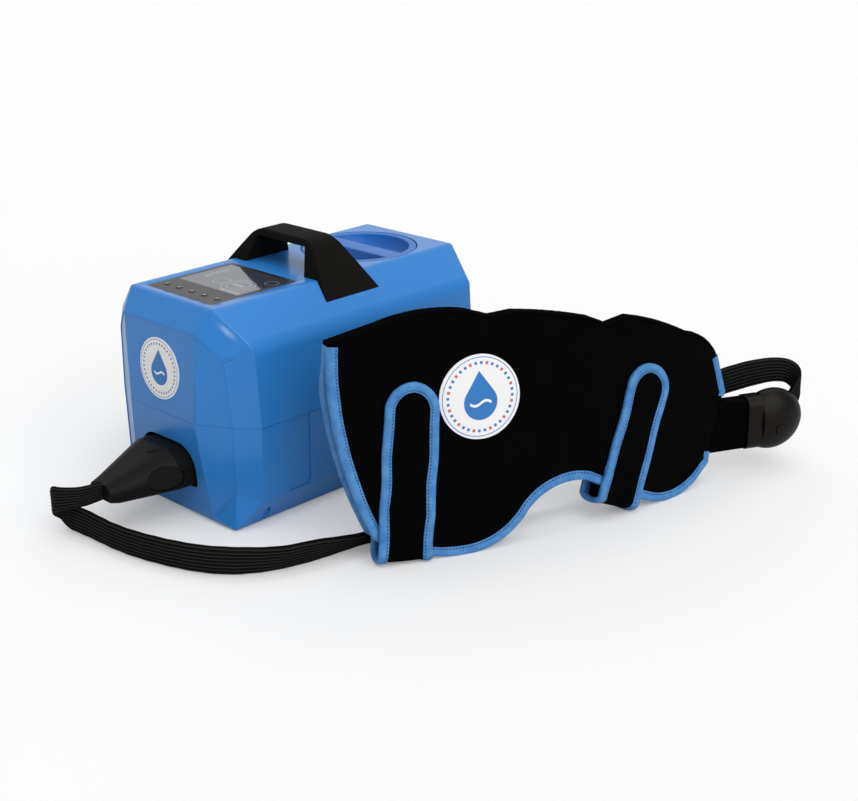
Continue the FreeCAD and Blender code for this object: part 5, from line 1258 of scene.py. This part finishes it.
def makePad(name, node, body, side):
    bm = bmesh.new()
    bmesh.ops.create_circle(bm, cap_ends=True, radius=1.0, segments=72)
    inner = bm.faces[:]
    for ring in (0.03, 0.05, 0.08, 0.12, 0.14, 0.14, 0.14, 0.14):
        bmesh.ops.inset_region(bm, faces=inner, thickness=ring, use_even_offset=True)
    made = bmesh.ops.extrude_face_region(bm, geom=bm.faces[:], use_keep_orig=True)["geom"]
    outer = {v for v in made if isinstance(v, bmesh.types.BMVert)}
    angle = math.atan(pad["taper"])
    normal = Vector((side * math.cos(angle), -math.sin(angle), 0))
    along = Vector((side * math.sin(angle), math.cos(angle), 0))
    y, z = pad["centre"]
    middle = Vector((side * (pad["half"] - (pad["waist"] - y) * pad["taper"]), y, z))
    model = nodes[node].data
    surface = BVHTree.FromPolygons([v.co for v in model.vertices], [tuple(f.vertices) for f in model.polygons])
    for v in bm.verts:
        far = min(1.0, Vector((v.co.x, v.co.y)).length)
        spot = middle + along * v.co.x * pad["size"][0] + Vector((0, 0, 1)) * v.co.y * pad["size"][1]
        rim = pad["rim"] * math.sqrt(max(0.0, 1 - (abs(far - 0.9) / 0.1) ** 2)) if far > 0.8 else pad["rim"]
        bowl = pad["dish"] * (1 - (far / 0.9) ** 2) ** 0.7 if far < 0.9 else 0.0
        hit = surface.ray_cast((spot + normal * 20) * mm, -normal)[0] or spot * mm
        sunk = max(0.0, (spot * mm - hit).dot(normal) / mm)
        v.co = (spot - normal * min(sunk, 9.0) + normal * (rim - bowl if v in outer else -pad["inward"])) * mm
    bmesh.ops.recalc_face_normals(bm, faces=bm.faces)
    addPiece(name, bm, finishes["black"], body, (node,), 60)


makePad("leftPad", "release_button_left", "left_release", -1)
makePad("rightPad", "release_button_right", "right_release", 1)

# thumb mark on the plug: a raised hook on its sloping top
mark = {"centre": (4.0, -213.5), "radius": 10.5, "from": -120, "to": 25, "flat": -212.0, "slope": 20 / 61, "top": 80.0}


def makeMark():
    rings = []
    for k in range(25):
        a = math.radians(mark["from"] + (mark["to"] - mark["from"]) * k / 24)
        out = Vector((math.cos(a), math.sin(a)))
        spot = Vector(mark["centre"]) + out * mark["radius"]
        ends = math.sin(math.pi * k / 24) ** 0.4 if 0 < k < 24 else 0.15
        ring = []
        for n in range(10):
            b = math.tau * n / 10
            flat = spot + out * math.cos(b) * 1.7
            fall = max(0.0, mark["flat"] - flat.y) * mark["slope"]
            ring.append(Vector((flat.x, flat.y, mark["top"] - fall + math.sin(b) * 1.6 * ends)) * mm)
        rings.append(ring)
    sweepBand("thumbMark", rings, True, "tape", lambda j, i: (0.02, i * 0.001), finishes["black"], "hose")


makeMark()

# carried-over nodes by finish
nodeFinish = {
    "black": ["connector_socket", "power_inlet", "plug_lower_shell", "plug_upper_shell", "plug_ports"],
    "domeBlack": ["coupling_dome", "coupling_back_shell", "coupling_latch"],
    "softBlack": ["key_switches"],
    "neckBlue": ["fill_neck"],
    "tank": ["water_tank", "intake_filter", "socket_ports", "coupling_ports"],
    "rubber": ["cap_seal", "rubber_feet"],
    "foam": ["tank_insulation"],
    "pump": ["pump_casing", "pump_impeller", "air_pump", "valve_body"],
    "motor": ["pump_motor"],
    "steel": ["screws", "heater_element", "temperature_probe", "valve_plunger"],
    "board": ["control_board", "power_board"],
    "screen": ["lcd_module"],
    "silicone": ["suction_pipe", "delivery_pipe", "return_pipe", "air_line"],
}
for finish, names in nodeFinish.items():
    for node in names:
        mesh = nodes[node].data
        if not mesh.materials:
            mesh.materials.append(finishes[finish])
        for slot in nodes[node].material_slots:
            slot.link = "OBJECT"
            slot.material = finishes[finish]

[tuple(p) for p in hoseSpots]
